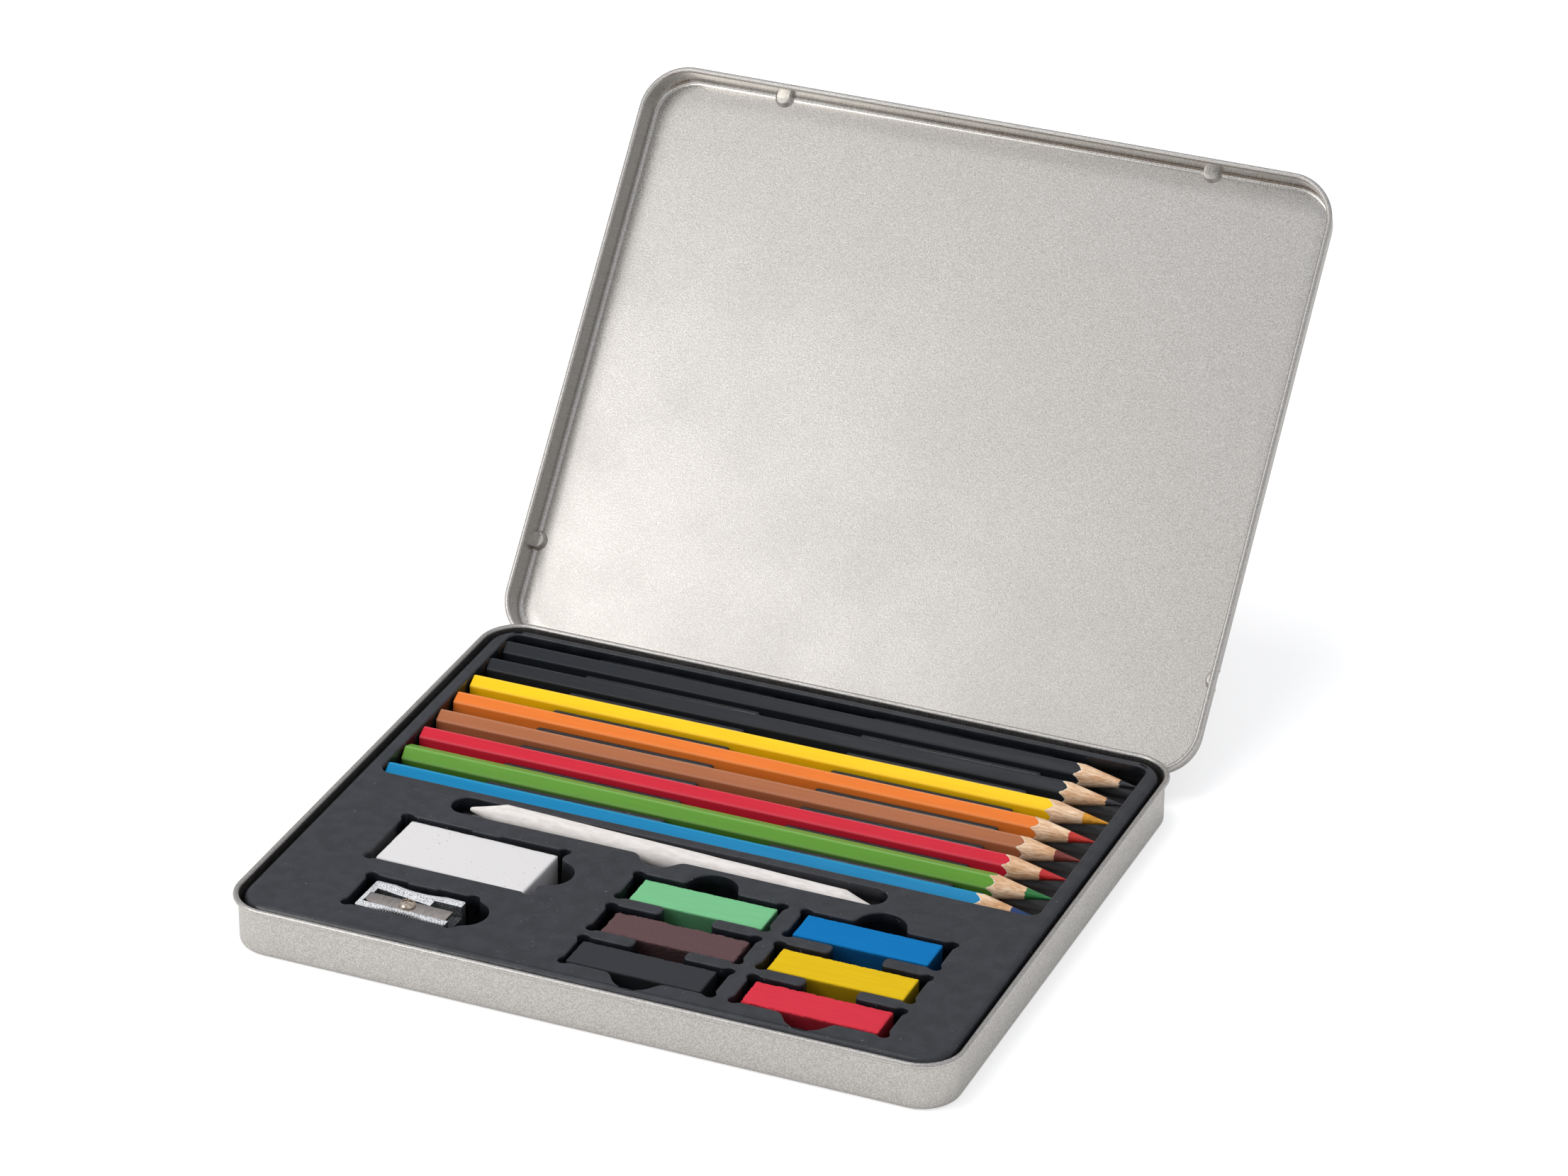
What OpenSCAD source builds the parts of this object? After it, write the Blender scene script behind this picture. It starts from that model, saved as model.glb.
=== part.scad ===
// Hinged artist's tin with a tray for pencils, a paper stump, an eraser, a sharpener and pastels.
// X runs along the hinge, Y from the front to the hinge, Z up. The origin is the middle of the underside.
// The lid is drawn as it stands open. Every pocket is worked out from what lies in it.

/* [Tin] */
// Height of the base, floor to rim
tin_h = 13.4; // [12.8:0.1:18]
// Thickness of the tinplate
sheet_t = 0.28; // [0.2:0.02:0.4]
// Outer diameter of the curled edges of base and lid
bead_d = 1.5; // [1.3:0.1:2]
// Outer corner radius of the base rim, seen from above
corner_r = 11.2; // [8:0.2:16]
// Outer radius where the wall meets the floor, and where the skirt meets the lid panel
fold_r = 1.4; // [0.8:0.1:2]
// Angle that a curl is rolled through
curl_angle = 290; // [240:5:310]

/* [Lid] */
// Gap between the base rim and the skirt around it
lid_gap = 0.15; // [0.1:0.05:0.4]
// Depth of the lid, outer panel face to the end of its curl
skirt_h = 8.25; // [7:0.25:9]
// Angle that the open lid has turned from closed
open_angle = 130; // [90:1:135]
// Height of the pressed stops that rest on the base rim
stop_h = 1.55; // [1.5:0.05:3]
// Width of a pressed stop
stop_w = 5.4; // [4:0.2:8]
// How far a pressed stop reaches over the panel
stop_reach = 3.2; // [2.6:0.1:5]
// Distance of the two front stops from the middle of the lid
front_stop_x = 60; // [30:1:75]
// Distance of the two side stops from the hinge axis
side_stop_y = 27.5; // [20:0.5:60]
// Gap between the stops and the rim when the lid is shut
stop_gap = 0.05; // [0.02:0.01:0.1]

/* [Hinge] */
// Distance of each hinge from the middle
hinge_x = 55; // [40:1:70]
// Width of the strap that is curled round the pin
strap_w = 10; // [6:0.5:14]
// Thickness of the strap
strap_t = 0.3; // [0.2:0.05:0.4]
// Height of the strap's plate on the back wall
strap_h = 5; // [3:0.25:6]
// Diameter of the hinge wire
pin_d = 0.8; // [0.6:0.05:0.9]
// Radial running gap between the wire and the knuckle
pin_gap = 0.05; // [0.03:0.01:0.1]
// Length of wire held in the lid's curl beyond each side of the notch
pin_hold = 2; // [1:0.5:5]
// Side gap between the strap and the notch in the lid
notch_gap = 1.3; // [0.5:0.1:3]
// Room above the hinge axis in the notch
notch_rise = 1.8; // [1.4:0.1:3]

/* [Tray] */
// Thickness of the formed plastic sheet
tray_t = 0.5; // [0.3:0.05:0.8]
// How far the deck lies below the rim
deck_drop = 0.5; // [0.2:0.1:1.5]
// Gap between the tray's skirt and the wall of the base
tray_gap = 0.35; // [0.2:0.05:0.6]
// Radius of the shoulder round the deck
shoulder_r = 1.1; // [0.8:0.1:2]
// Gap between pieces that stand on each other
seat_gap = 0.05; // [0.02:0.01:0.1]
// Deck left and right of the pencils
side_margin = 5.05; // [4:0.25:12]
// Deck behind the pencils
back_margin = 3.7; // [3.2:0.1:8]
// Deck between the pencils and the slot for the stump
slot_land = 2.9; // [2:0.1:6]
// Deck between the slot for the stump and the pastels
pastel_land = 8.4; // [7.8:0.1:12]
// Deck in front of the pastels
front_margin = 8; // [6.5:0.1:14]
// Depth of the eraser, sharpener and pastel pockets below the deck
pocket_depth = 10.7; // [8:0.1:11.2]
// Radius of the small corner reliefs of those pockets
relief_r = 1.4; // [1:0.1:2]
// Distance of the middle of a relief inside the corner
relief_in = 0.6; // [0.3:0.1:1.2]
// Width of the pinch bumps in the pocket walls
pinch_w = 8; // [4:0.5:12]
// How far a pinch bump stands out of its wall
pinch_out = 0.6; // [0.2:0.1:1]

/* [Pencils] */
// Length of a pencil with its point
pencil_len = 175; // [160:1:180]
// Width of a pencil across its corners
pencil_across = 6.9; // [6:0.1:8]
// Slope of the sharpened cone, radius per length
cone_slope = 0.2; // [0.15:0.01:0.25]
// Diameter of the coloured leads
colour_lead_d = 3; // [2:0.1:3.4]
// Diameter of the graphite leads
graphite_lead_d = 2.1; // [1.8:0.1:2.6]
// Diameter of the blunt tip of a lead
lead_tip_d = 0.4; // [0.3:0.1:0.8]
// Distance between neighbouring pencils
lane_pitch = 9.8; // [9.6:0.1:12]
// Distance from an outer pencil's axis to the pocket wall
lane_edge = 4.66; // [4.3:0.1:7]
// Depth of a pencil's axis below the deck
lane_depth = 3.5; // [2.5:0.1:4.4]
// Gap at each end of a pencil
pencil_end_gap = 0.6; // [0.3:0.1:3]
// Corner radius of the pencils' pocket
lane_corner_r = 3; // [1:0.1:4]
// Room round a pencil in its groove
groove_gap = 0.1; // [0.05:0.05:0.4]
// Depth below the deck of the land between the grooves
lane_land_depth = 6.1; // [5:0.1:6.6]
// Depth of the ribs' tops below the deck
rib_drop = 2.4; // [2:0.1:4]
// Width of the ribs between the pencils
rib_w = 2.4; // [1.6:0.1:2.8]
// Length of a rib
rib_len = 49.5; // [30:0.5:60]
// Distance of the ribs' middles from the middle of the pocket
rib_x = 38.4; // [32:0.2:50]

/* [Stump] */
// Length of the paper stump
stump_len = 110; // [90:1:130]
// Diameter of the paper stump
stump_d = 6.6; // [5:0.1:6.9]
// Length of each pointed end
stump_cone = 9.5; // [6:0.5:14]
// Diameter of the blunt ends
stump_tip_d = 0.8; // [0.4:0.1:1.5]
// Width of the slot
slot_w = 7.8; // [7.6:0.1:10]
// Room at each end of the stump
slot_end = 3; // [2:0.5:8]
// Distance of the slot's middle from the middle of the tray
slot_x = -6.1; // [-10:0.1:0]
// Depth of the stump's middle below the deck
stump_depth = 2.55; // [2.3:0.1:3.2]
// Slope of the slot floor from left to right, degrees
stump_tilt = 1.35; // [0:0.05:1.4]
// How far the stump lies turned, degrees
stump_turn = -0.5; // [-0.6:0.1:0.6]
// How far the stump lies from the middle of its slot
stump_lie = 1.5; // [-2:0.1:2]
// Depth of the slot's flat floor below the deck
slot_depth = 4.4; // [4:0.1:5]
// Radius of the finger notch in front of the slot
slot_notch_r = 5.2; // [4:0.1:6]

/* [Eraser] */
// Length of the eraser
eraser_l = 40.2; // [30:0.2:42]
// Width of the eraser
eraser_w = 19.3; // [14:0.1:20]
// Height of the eraser
eraser_h = 10; // [7:0.1:10.4]
// Corner radius of the eraser
eraser_r = 0.6; // [0.3:0.1:2]
// Room between the eraser's ends and the pocket
eraser_room_x = 1.98; // [1.2:0.1:4]
// Room between the eraser's sides and the pocket
eraser_room_y = 1.2; // [1.15:0.05:3]
// How far the eraser lies turned
eraser_turn = -1.2; // [-1.4:0.1:1.4]
// How far the eraser lies from the middle of its pocket
eraser_lie = -0.4; // [-0.5:0.1:0.1]
// Distance of the eraser from the middle of the tray
eraser_x = -50; // [-52:0.1:-46]
// Deck between the slot and the eraser
eraser_land = 6.15; // [6:0.05:8]
// Radius of the finger notches beside eraser and sharpener
side_notch_r = 6.1; // [4:0.1:6.5]

/* [Sharpener] */
// Length of the sharpener
sharpener_l = 24.2; // [20:0.1:26]
// Width of the sharpener
sharpener_w = 12; // [10:0.1:13]
// Height of the sharpener
sharpener_h = 9.6; // [8.5:0.1:10.4]
// Room between the sharpener's ends and the pocket
sharpener_room_x = 2.2; // [1:0.1:4]
// Room between the sharpener's sides and the pocket
sharpener_room_y = 1.33; // [1:0.05:3]
// How far the sharpener lies turned
sharpener_turn = -1.3; // [-1.4:0.1:1.4]
// Distance of the sharpener from the middle of the tray
sharpener_x = -53.2; // [-54:0.1:-48]
// Deck between eraser and sharpener
sharpener_land = 6.9; // [6:0.1:8]
// Radius of its upright edges
sharpener_edge_r = 0.6; // [0.3:0.1:1.5]
// Depth of the waist in each long side
waist_depth = 0.9; // [0.3:0.1:1.5]
// Radius of the waist
waist_r = 26; // [20:1:60]
// Widest diameter of the pencil hole
hole_d = 7.4; // [6:0.1:8]
// Diameter of the hole where the point comes to lie
hole_tip_d = 1.8; // [1:0.1:3]
// Length of the tapered part of the hole
hole_l = 21; // [16:0.5:23]
// Widest part of the slot that lets the shavings out
chip_slot_w = 2.1; // [1:0.1:2.6]
// Length of that slot
chip_slot_l = 15.3; // [10:0.1:16]
// Distance of the slot from the end where the pencil goes in
chip_slot_in = 1.8; // [1:0.1:3]
// Length of the lowered step at the other end
step_l = 7.2; // [5:0.1:8]
// Depth of that step
step_depth = 3.2; // [1:0.1:4]
// Width of the rim beside the step
step_rim = 2.6; // [1.5:0.1:3]
// Length of the blade
blade_l = 22.6; // [18:0.1:24]
// Width of the blade
blade_w = 4.2; // [3:0.1:5]
// Thickness of the blade
blade_t = 0.6; // [0.4:0.05:0.8]
// Room round the blade in its seat
blade_gap = 0.1; // [0.05:0.05:0.3]
// Distance of the blade's middle line from the sharpener's middle line
blade_y = -1.45; // [-1.8:0.05:-1.2]
// Head diameter of the blade screw
screw_head_d = 4.2; // [3:0.1:4.5]
// Height of the domed screw head
screw_head_h = 1.5; // [0.8:0.1:2]
// Height of the straight edge under the dome
screw_edge_h = 0.5; // [0.2:0.1:0.7]
// Shank diameter of the blade screw
screw_d = 2; // [1.5:0.1:2.4]
// Length of the blade screw's shank
screw_l = 3; // [2:0.1:3.6]
// Length of each arm of the cross recess in its head
recess_l = 2.4; // [1.5:0.1:2.6]
// Width of the arms of the cross recess
recess_w = 0.5; // [0.3:0.05:0.8]
// Depth of the cross recess
recess_depth = 0.6; // [0.3:0.05:0.8]
// How far the screw is turned, degrees
screw_turn = 20; // [0:1:90]

/* [Pastels] */
// Length of a pastel
pastel_l = 35; // [30:0.5:38]
// Width and height of a pastel
pastel_w = 10; // [7:0.1:10.4]
// Radius of a pastel's upright edges
pastel_edge_r = 0.5; // [0.2:0.1:2]
// Room between a pastel's ends and its pocket
pastel_room_x = 2.1; // [1.5:0.1:4]
// Room between a pastel's sides and its pocket
pastel_room_y = 1.15; // [0.6:0.05:3]
// Distance between the rows of pastels
row_pitch = 16.06; // [15.6:0.1:18]
// Distance between the two columns of pastels
column_pitch = 44.1; // [42.5:0.1:48]
// Distance of the left column from the middle of the tray
column_x = 11.3; // [10:0.1:13]
// Width of the finger channel across the rows
channel_w = 13.3; // [8:0.1:16]
// Radius of the thumb hollow behind the pastels
thumb_r = 6.5; // [5:0.1:7]
// Radius of the finger notch in front of the pastels
front_notch_r = 6.1; // [4:0.1:6.2]
// Distance of that notch's middle behind the edge of the pockets
front_notch_in = 1; // [0:0.1:2]

/* [Hidden] */
PENCILS = ["black_rear", "black_front", "yellow", "orange", "brown", "red", "green", "blue"];
PASTELS = ["green", "blue", "brown", "yellow", "black", "red"];
$fn = 48;

// How far a cutting shape runs past the face that it cuts.
past = 1;
// How far two pieces of one solid run into each other.
bite = 0.05;

// Colours
TINPLATE = [0.86, 0.86, 0.85];
BLACK_PLASTIC = [0.12, 0.12, 0.13];
GRAPHITE = [0.3, 0.3, 0.31];
PAPER = [0.88, 0.86, 0.84];
RUBBER = [0.93, 0.93, 0.92];
STEEL = [0.62, 0.63, 0.65];
ALLOY = [0.72, 0.72, 0.72];
PENCIL_COLOURS = [
    [0.1, 0.1, 0.11], [0.1, 0.1, 0.11], [0.99, 0.84, 0.25], [0.94, 0.5, 0.25],
    [0.65, 0.4, 0.28], [0.82, 0.18, 0.25], [0.37, 0.6, 0.22], [0.05, 0.5, 0.72]
];
LEAD_COLOURS = [
    GRAPHITE, GRAPHITE, [0.85, 0.6, 0.15], [0.8, 0.25, 0.12],
    [0.42, 0.27, 0.2], [0.72, 0.12, 0.15], [0.15, 0.4, 0.22], [0.1, 0.3, 0.55]
];
PASTEL_COLOURS = [
    [0.45, 0.68, 0.3], [0.15, 0.5, 0.75], [0.35, 0.25, 0.2],
    [0.96, 0.82, 0.2], [0.13, 0.13, 0.14], [0.82, 0.2, 0.22]
];

// How each pencil lies rolled from corner up, in degrees, from the hinge to the front.
PENCIL_ROLL = [0, 0, 1, 6, 2, 5, -12, 0];
// Where each pastel lies within the room of its pocket, as a share of that room along X and Y.
PASTEL_LIE = [[0.3, -0.25], [-0.4, 0.25], [0.25, -0.4], [-0.15, -0.1], [-0.65, 0.1], [-0.15, 0.1]];

// Tray plan, worked out from its contents
pencil_r = pencil_across / 2;
lanes = len(PENCILS);
lane_pocket_l = pencil_len + 2 * pencil_end_gap;
lane_pocket_w = (lanes - 1) * lane_pitch + 2 * lane_edge;
pastel_rows = 3;
pastel_columns = 2;
pastel_pocket_l = pastel_l + 2 * pastel_room_x;
pastel_pocket_w = pastel_w + 2 * pastel_room_y;
pastel_block = (pastel_rows - 1) * row_pitch + pastel_pocket_w;
tray_w = lane_pocket_l + 2 * side_margin;
tray_d = back_margin + lane_pocket_w + slot_land + slot_w + pastel_land + pastel_block + front_margin;

// Tin plan, worked out from the tray
bead_r = bead_d / 2;
wall_out = bead_d - sheet_t;
tin_w = tray_w + 2 * (tray_gap + bead_d);
tin_d = tray_d + 2 * (tray_gap + bead_d);
lid_grow = lid_gap + bead_d;
lid_w = tin_w + 2 * lid_grow;
lid_d = tin_d + 2 * lid_grow;
lid_corner_r = corner_r + lid_grow;
tray_corner_r = corner_r - bead_d - tray_gap;

// Heights
fold_in = fold_r - sheet_t;
skirt_in = max(0, fold_in - tray_gap);
tray_z = fold_r - sqrt(fold_in * fold_in - skirt_in * skirt_in) + seat_gap;
deck_z = tin_h - deck_drop;
lid_top = tin_h + stop_gap + stop_h + sheet_t;
lid_curl_z = lid_top - skirt_h + bead_r;
lane_z = deck_z - lane_depth;
pocket_z = deck_z - pocket_depth;
slot_floor_z = deck_z - slot_depth;

// Hinge
hinge_y = lid_d / 2 - bead_r;
hinge_z = lid_curl_z;
knuckle_in = pin_d / 2 + pin_gap;
knuckle_out = knuckle_in + strap_t;
notch_w = strap_w + 2 * notch_gap;

// Places on the deck
lane_front_y = tray_d / 2 - back_margin - lane_pocket_w;
first_lane_y = tray_d / 2 - back_margin - lane_edge;
slot_y = lane_front_y - slot_land - slot_w / 2;
slot_front_y = slot_y - slot_w / 2;
slot_l = stump_len + 2 * slot_end;
eraser_pocket_l = eraser_l + 2 * eraser_room_x;
eraser_pocket_w = eraser_w + 2 * eraser_room_y;
eraser_y = slot_front_y - eraser_land - eraser_pocket_w / 2;
sharpener_pocket_l = sharpener_l + 2 * sharpener_room_x;
sharpener_pocket_w = sharpener_w + 2 * sharpener_room_y;
sharpener_y = eraser_y - eraser_pocket_w / 2 - sharpener_land - sharpener_pocket_w / 2;
first_row_y = slot_front_y - pastel_land - pastel_pocket_w / 2;
last_row_y = first_row_y - (pastel_rows - 1) * row_pitch;
stump_z = deck_z - stump_depth;
sharpener_top = pocket_z + seat_gap + sharpener_h;

function column_at(i) = column_x + i * column_pitch;
function row_at(i) = first_row_y - i * row_pitch;
function lane_at(i) = first_lane_y - i * lane_pitch;
function polar(r, angle) = r * [cos(angle), sin(angle)];

// Flat shapes

// Rectangle with round corners about the origin, grown by g all round.
module round_rect(w, d, r, g = 0) {
    square([w + 2 * g - 2 * (r + g), d + 2 * g], center = true);
    square([w + 2 * g, d + 2 * g - 2 * (r + g)], center = true);
    for (x = [-1, 1], y = [-1, 1])
        translate([x * (w / 2 - r), y * (d / 2 - r)]) circle(r + g);
}

// Pocket with a small round relief at each corner.
module relieved_rect(w, d, g = 0) {
    square([w + 2 * g, d + 2 * g], center = true);
    for (x = [-1, 1], y = [-1, 1])
        translate([x * (w / 2 - relief_in), y * (d / 2 - relief_in)]) circle(relief_r + g);
}

// Closed ring of a profile drawn with x = 0 on the outer face of a w by d rounded rectangle and y upwards.
module round_frame(w, d, r) {
    side_x = d - 2 * r;
    side_y = w - 2 * r;
    for (i = [0:3])
        translate([(i == 0 || i == 3 ? 1 : -1) * (w / 2 - r), (i < 2 ? 1 : -1) * (d / 2 - r), 0])
            rotate([0, 0, 90 * i]) rotate_extrude(angle = 90) translate([r, 0]) children();
    for (i = [0:3]) {
        run = i % 2 == 0 ? side_x : side_y;
        half = i % 2 == 0 ? w / 2 : d / 2;
        rotate([0, 0, 90 * i]) translate([half, run / 2, 0])
            rotate([90, 0, 0]) linear_extrude(run) children();
    }
}

// Tin

// Section of a folded wall of height h: the fold at y = 0, the open curl at the top.
module wall_section(h) {
    curl_end = 180 - curl_angle;
    translate([-wall_out - sheet_t, fold_r]) square([sheet_t, h - bead_r - fold_r]);
    translate([-wall_out - fold_r, fold_r]) intersection() {
        difference() {
            circle(fold_r);
            circle(fold_r - sheet_t);
        }
        translate([0, -fold_r]) square(fold_r);
    }
    translate([-wall_out - fold_r - bite, 0]) square([bite, sheet_t]);
    translate([-bead_r, h - bead_r]) difference() {
        circle(bead_r);
        circle(bead_r - sheet_t);
        polygon([[0, 0], polar(bead_d, -180), polar(bead_d, (curl_end - 180) / 2), polar(bead_d, curl_end)]);
    }
}

// Pressed pan with folded walls and a curled edge, its floor at z = 0 and open upwards.
module pan(w, d, r, h) {
    inset = wall_out + fold_r;
    round_frame(w, d, r) wall_section(h);
    linear_extrude(sheet_t) round_rect(w - 2 * inset, d - 2 * inset, r - inset);
}

module base_shell() {
    color(TINPLATE) pan(tin_w, tin_d, corner_r, tin_h);
}

// Moves a piece that is drawn shut to where the open lid carries it.
module opened() {
    translate([0, hinge_y, hinge_z]) rotate([-open_angle, 0, 0])
        translate([0, -hinge_y, -hinge_z]) children();
}

// Plan of a stop that is pressed in from the skirt, which lies along the X axis, grown by g.
module stop_plan(g = 0) {
    round_reach = stop_reach - stop_w / 2;
    translate([-stop_w / 2 - g, -fold_r]) square([stop_w + 2 * g, round_reach + fold_r]);
    translate([0, round_reach]) circle(stop_w / 2 + g);
}

// Places its children at the four stops, with their Y axis pointing into the lid.
module at_stops() {
    skirt_y = lid_d / 2 - bead_d;
    skirt_x = lid_w / 2 - bead_d;
    for (side = [-1, 1]) {
        translate([side * front_stop_x, -skirt_y, 0]) children();
        translate([side * skirt_x, hinge_y - side_stop_y, 0]) rotate([0, 0, side * 90]) children();
    }
}

module lid_shell() {
    under = lid_top - sheet_t;
    color(TINPLATE) opened() difference() {
        union() {
            translate([0, 0, lid_top]) mirror([0, 0, 1]) pan(lid_w, lid_d, lid_corner_r, skirt_h);
            at_stops() intersection() {
                translate([0, 0, under - stop_h]) linear_extrude(stop_h + bite) stop_plan();
                translate([-stop_w, -sheet_t / 2, 0]) cube([2 * stop_w, 2 * stop_reach, lid_top]);
            }
        }
        at_stops() translate([0, 0, under - stop_h + sheet_t])
            linear_extrude(stop_h + past) stop_plan(-sheet_t);
        for (side = [-1, 1])
            translate([side * hinge_x - notch_w / 2, hinge_y - bead_d, hinge_z - bead_d])
                cube([notch_w, 2 * bead_d, bead_d + notch_rise]);
    }
}

// Strap on the back wall, its end curled round the hinge wire.
module hinge_strap(side) {
    wall_y = tin_d / 2 - wall_out;
    top = tin_h - bead_d - seat_gap;
    color(TINPLATE) translate([side * hinge_x - strap_w / 2, 0, 0]) difference() {
        union() {
            translate([0, wall_y, top - strap_h]) cube([strap_w, strap_t, strap_h]);
            translate([0, wall_y, hinge_z - knuckle_out]) cube([strap_w, hinge_y - wall_y, strap_t]);
            translate([0, hinge_y, hinge_z]) rotate([0, 90, 0]) cylinder(r = knuckle_out, h = strap_w);
        }
        translate([-past, hinge_y, hinge_z]) rotate([0, 90, 0])
            cylinder(r = knuckle_in, h = strap_w + 2 * past);
    }
}

module hinge_strap_left() { hinge_strap(-1); }
module hinge_strap_right() { hinge_strap(1); }

module hinge_pin(side) {
    length = notch_w + 2 * pin_hold;
    color(STEEL) translate([side * hinge_x - length / 2, hinge_y, hinge_z])
        rotate([0, 90, 0]) cylinder(d = pin_d, h = length);
}

module hinge_pin_left() { hinge_pin(-1); }
module hinge_pin_right() { hinge_pin(1); }

// Tray

// Section of the tray's skirt and shoulder, drawn as round_frame wants it.
module tray_section() {
    translate([-tray_t, tray_z]) square([tray_t, deck_z - shoulder_r - tray_z]);
    translate([-shoulder_r, deck_z - shoulder_r]) intersection() {
        difference() {
            circle(shoulder_r);
            circle(shoulder_r - tray_t);
        }
        square(shoulder_r);
    }
    translate([-shoulder_r - bite, deck_z - tray_t]) square([bite, tray_t]);
}

module lane_plan(g = 0) {
    translate([0, lane_front_y + lane_pocket_w / 2])
        round_rect(lane_pocket_l, lane_pocket_w, lane_corner_r, g);
}

module slot_plan(g = 0) {
    translate([slot_x, slot_y]) round_rect(slot_l, slot_w, slot_w / 2 - bite, g);
    translate([slot_x, slot_front_y + slot_notch_r / 6]) circle(slot_notch_r + g);
}

module eraser_plan(g = 0) {
    translate([eraser_x, eraser_y]) relieved_rect(eraser_pocket_l, eraser_pocket_w, g);
    translate([eraser_x + eraser_pocket_l / 2, eraser_y]) circle(side_notch_r + g);
}

module sharpener_plan(g = 0) {
    translate([sharpener_x, sharpener_y]) relieved_rect(sharpener_pocket_l, sharpener_pocket_w, g);
    translate([sharpener_x + sharpener_pocket_l / 2, sharpener_y]) circle(side_notch_r + g);
}

// One column of pastel pockets, joined by the finger channel.
module pastel_plan(column, g = 0) {
    translate([column_at(column), 0]) {
        for (row = [0:pastel_rows - 1])
            translate([0, row_at(row)]) relieved_rect(pastel_pocket_l, pastel_pocket_w, g);
        translate([-channel_w / 2 - g, last_row_y]) square([channel_w + 2 * g, first_row_y - last_row_y]);
        translate([0, first_row_y + pastel_pocket_w / 2]) circle(thumb_r + g);
        translate([0, last_row_y - pastel_pocket_w / 2 + front_notch_in]) circle(front_notch_r + g);
    }
}

// Small bumps of the pocket walls that hold eraser, sharpener and pastels.
module pinch_plan(g = 0) {
    w = pinch_w - 2 * g;
    out = pinch_out - g;
    translate([eraser_x - w / 2, eraser_y + eraser_pocket_w / 2 - out]) square([w, out + past]);
    translate([sharpener_x - w / 2, sharpener_y + sharpener_pocket_w / 2 - out]) square([w, out + past]);
}

// Ribs between the pencils, inset by g.
module rib_plan(g = 0) {
    for (i = [0:lanes - 2], side = [-1, 1])
        translate([side * rib_x, lane_at(i) - lane_pitch / 2])
            round_rect(rib_len, rib_w, rib_w / 2 - bite, -g);
}

// Grooves for the pencils, widened by g and lengthened by the same.
module grooves(g = 0) {
    for (i = [0:lanes - 1])
        translate([-lane_pocket_l / 2 - g, lane_at(i), lane_z]) rotate([0, 90, 0])
            cylinder(r = pencil_r + groove_gap + g, h = lane_pocket_l + 2 * g);
}

// Places its children along the stump's sloping axis.
module along_stump() {
    translate([slot_x + stump_lie, slot_y, stump_z]) rotate([0, 90 + stump_tilt, stump_turn]) children();
}

module stump_groove(g = 0) {
    length = stump_len + 2 * g;
    along_stump() translate([0, 0, -length / 2]) cylinder(r = stump_d / 2 + groove_gap + g, h = length);
}

// Everything that the pockets take out of the tray, or with g = tray_t the solid around them.
module pockets(g = 0) {
    top = deck_z + (g > 0 ? 0 : past);
    lane_floor = deck_z - lane_land_depth - g;
    translate([0, 0, lane_floor]) linear_extrude(top - lane_floor) lane_plan(g);
    translate([0, 0, slot_floor_z - g]) linear_extrude(top - slot_floor_z + g) slot_plan(g);
    translate([0, 0, pocket_z - g]) linear_extrude(top - pocket_z + g) {
        difference() {
            union() {
                eraser_plan(g);
                sharpener_plan(g);
            }
            pinch_plan(g);
        }
        for (column = [0:pastel_columns - 1]) pastel_plan(column, g);
    }
}

// The round troughs under pencils and stump, cut off at the deck.
module troughs(g = 0) {
    intersection() {
        union() {
            grooves(g);
            stump_groove(g);
        }
        translate([-tray_w / 2, -tray_d / 2, 0]) cube([tray_w, tray_d, deck_z - tray_t]);
    }
}

module tray() {
    color(BLACK_PLASTIC) difference() {
        union() {
            round_frame(tray_w, tray_d, tray_corner_r) tray_section();
            translate([0, 0, deck_z - tray_t]) linear_extrude(tray_t)
                round_rect(tray_w - 2 * shoulder_r, tray_d - 2 * shoulder_r, tray_corner_r - shoulder_r);
            pockets(tray_t);
            troughs(tray_t);
        }
        difference() {
            union() {
                pockets();
                troughs();
            }
            translate([0, 0, lane_z - pencil_r]) linear_extrude(deck_z - rib_drop - lane_z + pencil_r)
                rib_plan();
        }
        linear_extrude(deck_z - rib_drop - tray_t) rib_plan(tray_t);
    }
}

// Contents

// Places its children at pencil i, with the point along +Z.
module at_pencil(i) {
    translate([0, lane_at(i), lane_z]) rotate([-PENCIL_ROLL[i], 0, 0]) rotate([0, 90, 0])
        translate([0, 0, -pencil_len / 2]) children();
}

function lead_r(i) = (i < 2 ? graphite_lead_d : colour_lead_d) / 2;

// Wooden casing with a hexagonal outside, a sharpened cone and a bore for the lead.
module casing(i) {
    cone_z = pencil_len - pencil_across / cone_slope;
    nose_z = pencil_len - lead_r(i) / cone_slope;
    color(PENCIL_COLOURS[i]) at_pencil(i) difference() {
        intersection() {
            cylinder(r = pencil_r, h = pencil_len, $fn = 6);
            union() {
                translate([0, 0, -past]) cylinder(r = pencil_across, h = cone_z + past);
                translate([0, 0, cone_z]) cylinder(r1 = pencil_across, r2 = lead_r(i), h = nose_z - cone_z);
            }
        }
        translate([0, 0, -past]) cylinder(r = lead_r(i) + bite, h = pencil_len + 2 * past);
    }
}

// Lead through the whole pencil, pointed in line with the casing.
module lead(i) {
    cone_h = (lead_r(i) - lead_tip_d / 2) / cone_slope;
    color(LEAD_COLOURS[i]) at_pencil(i) {
        cylinder(r = lead_r(i), h = pencil_len - lead_r(i) / cone_slope);
        translate([0, 0, pencil_len - lead_r(i) / cone_slope])
            cylinder(r1 = lead_r(i), r2 = lead_tip_d / 2, h = cone_h);
    }
}

// Paper stump with a cone at both ends.
module blending_stump() {
    body = stump_len - 2 * stump_cone;
    color(PAPER) along_stump() {
        translate([0, 0, -body / 2]) cylinder(d = stump_d, h = body);
        for (side = [0, 1])
            mirror([0, 0, side]) translate([0, 0, body / 2])
                cylinder(d1 = stump_d, d2 = stump_tip_d, h = stump_cone);
    }
}

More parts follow.
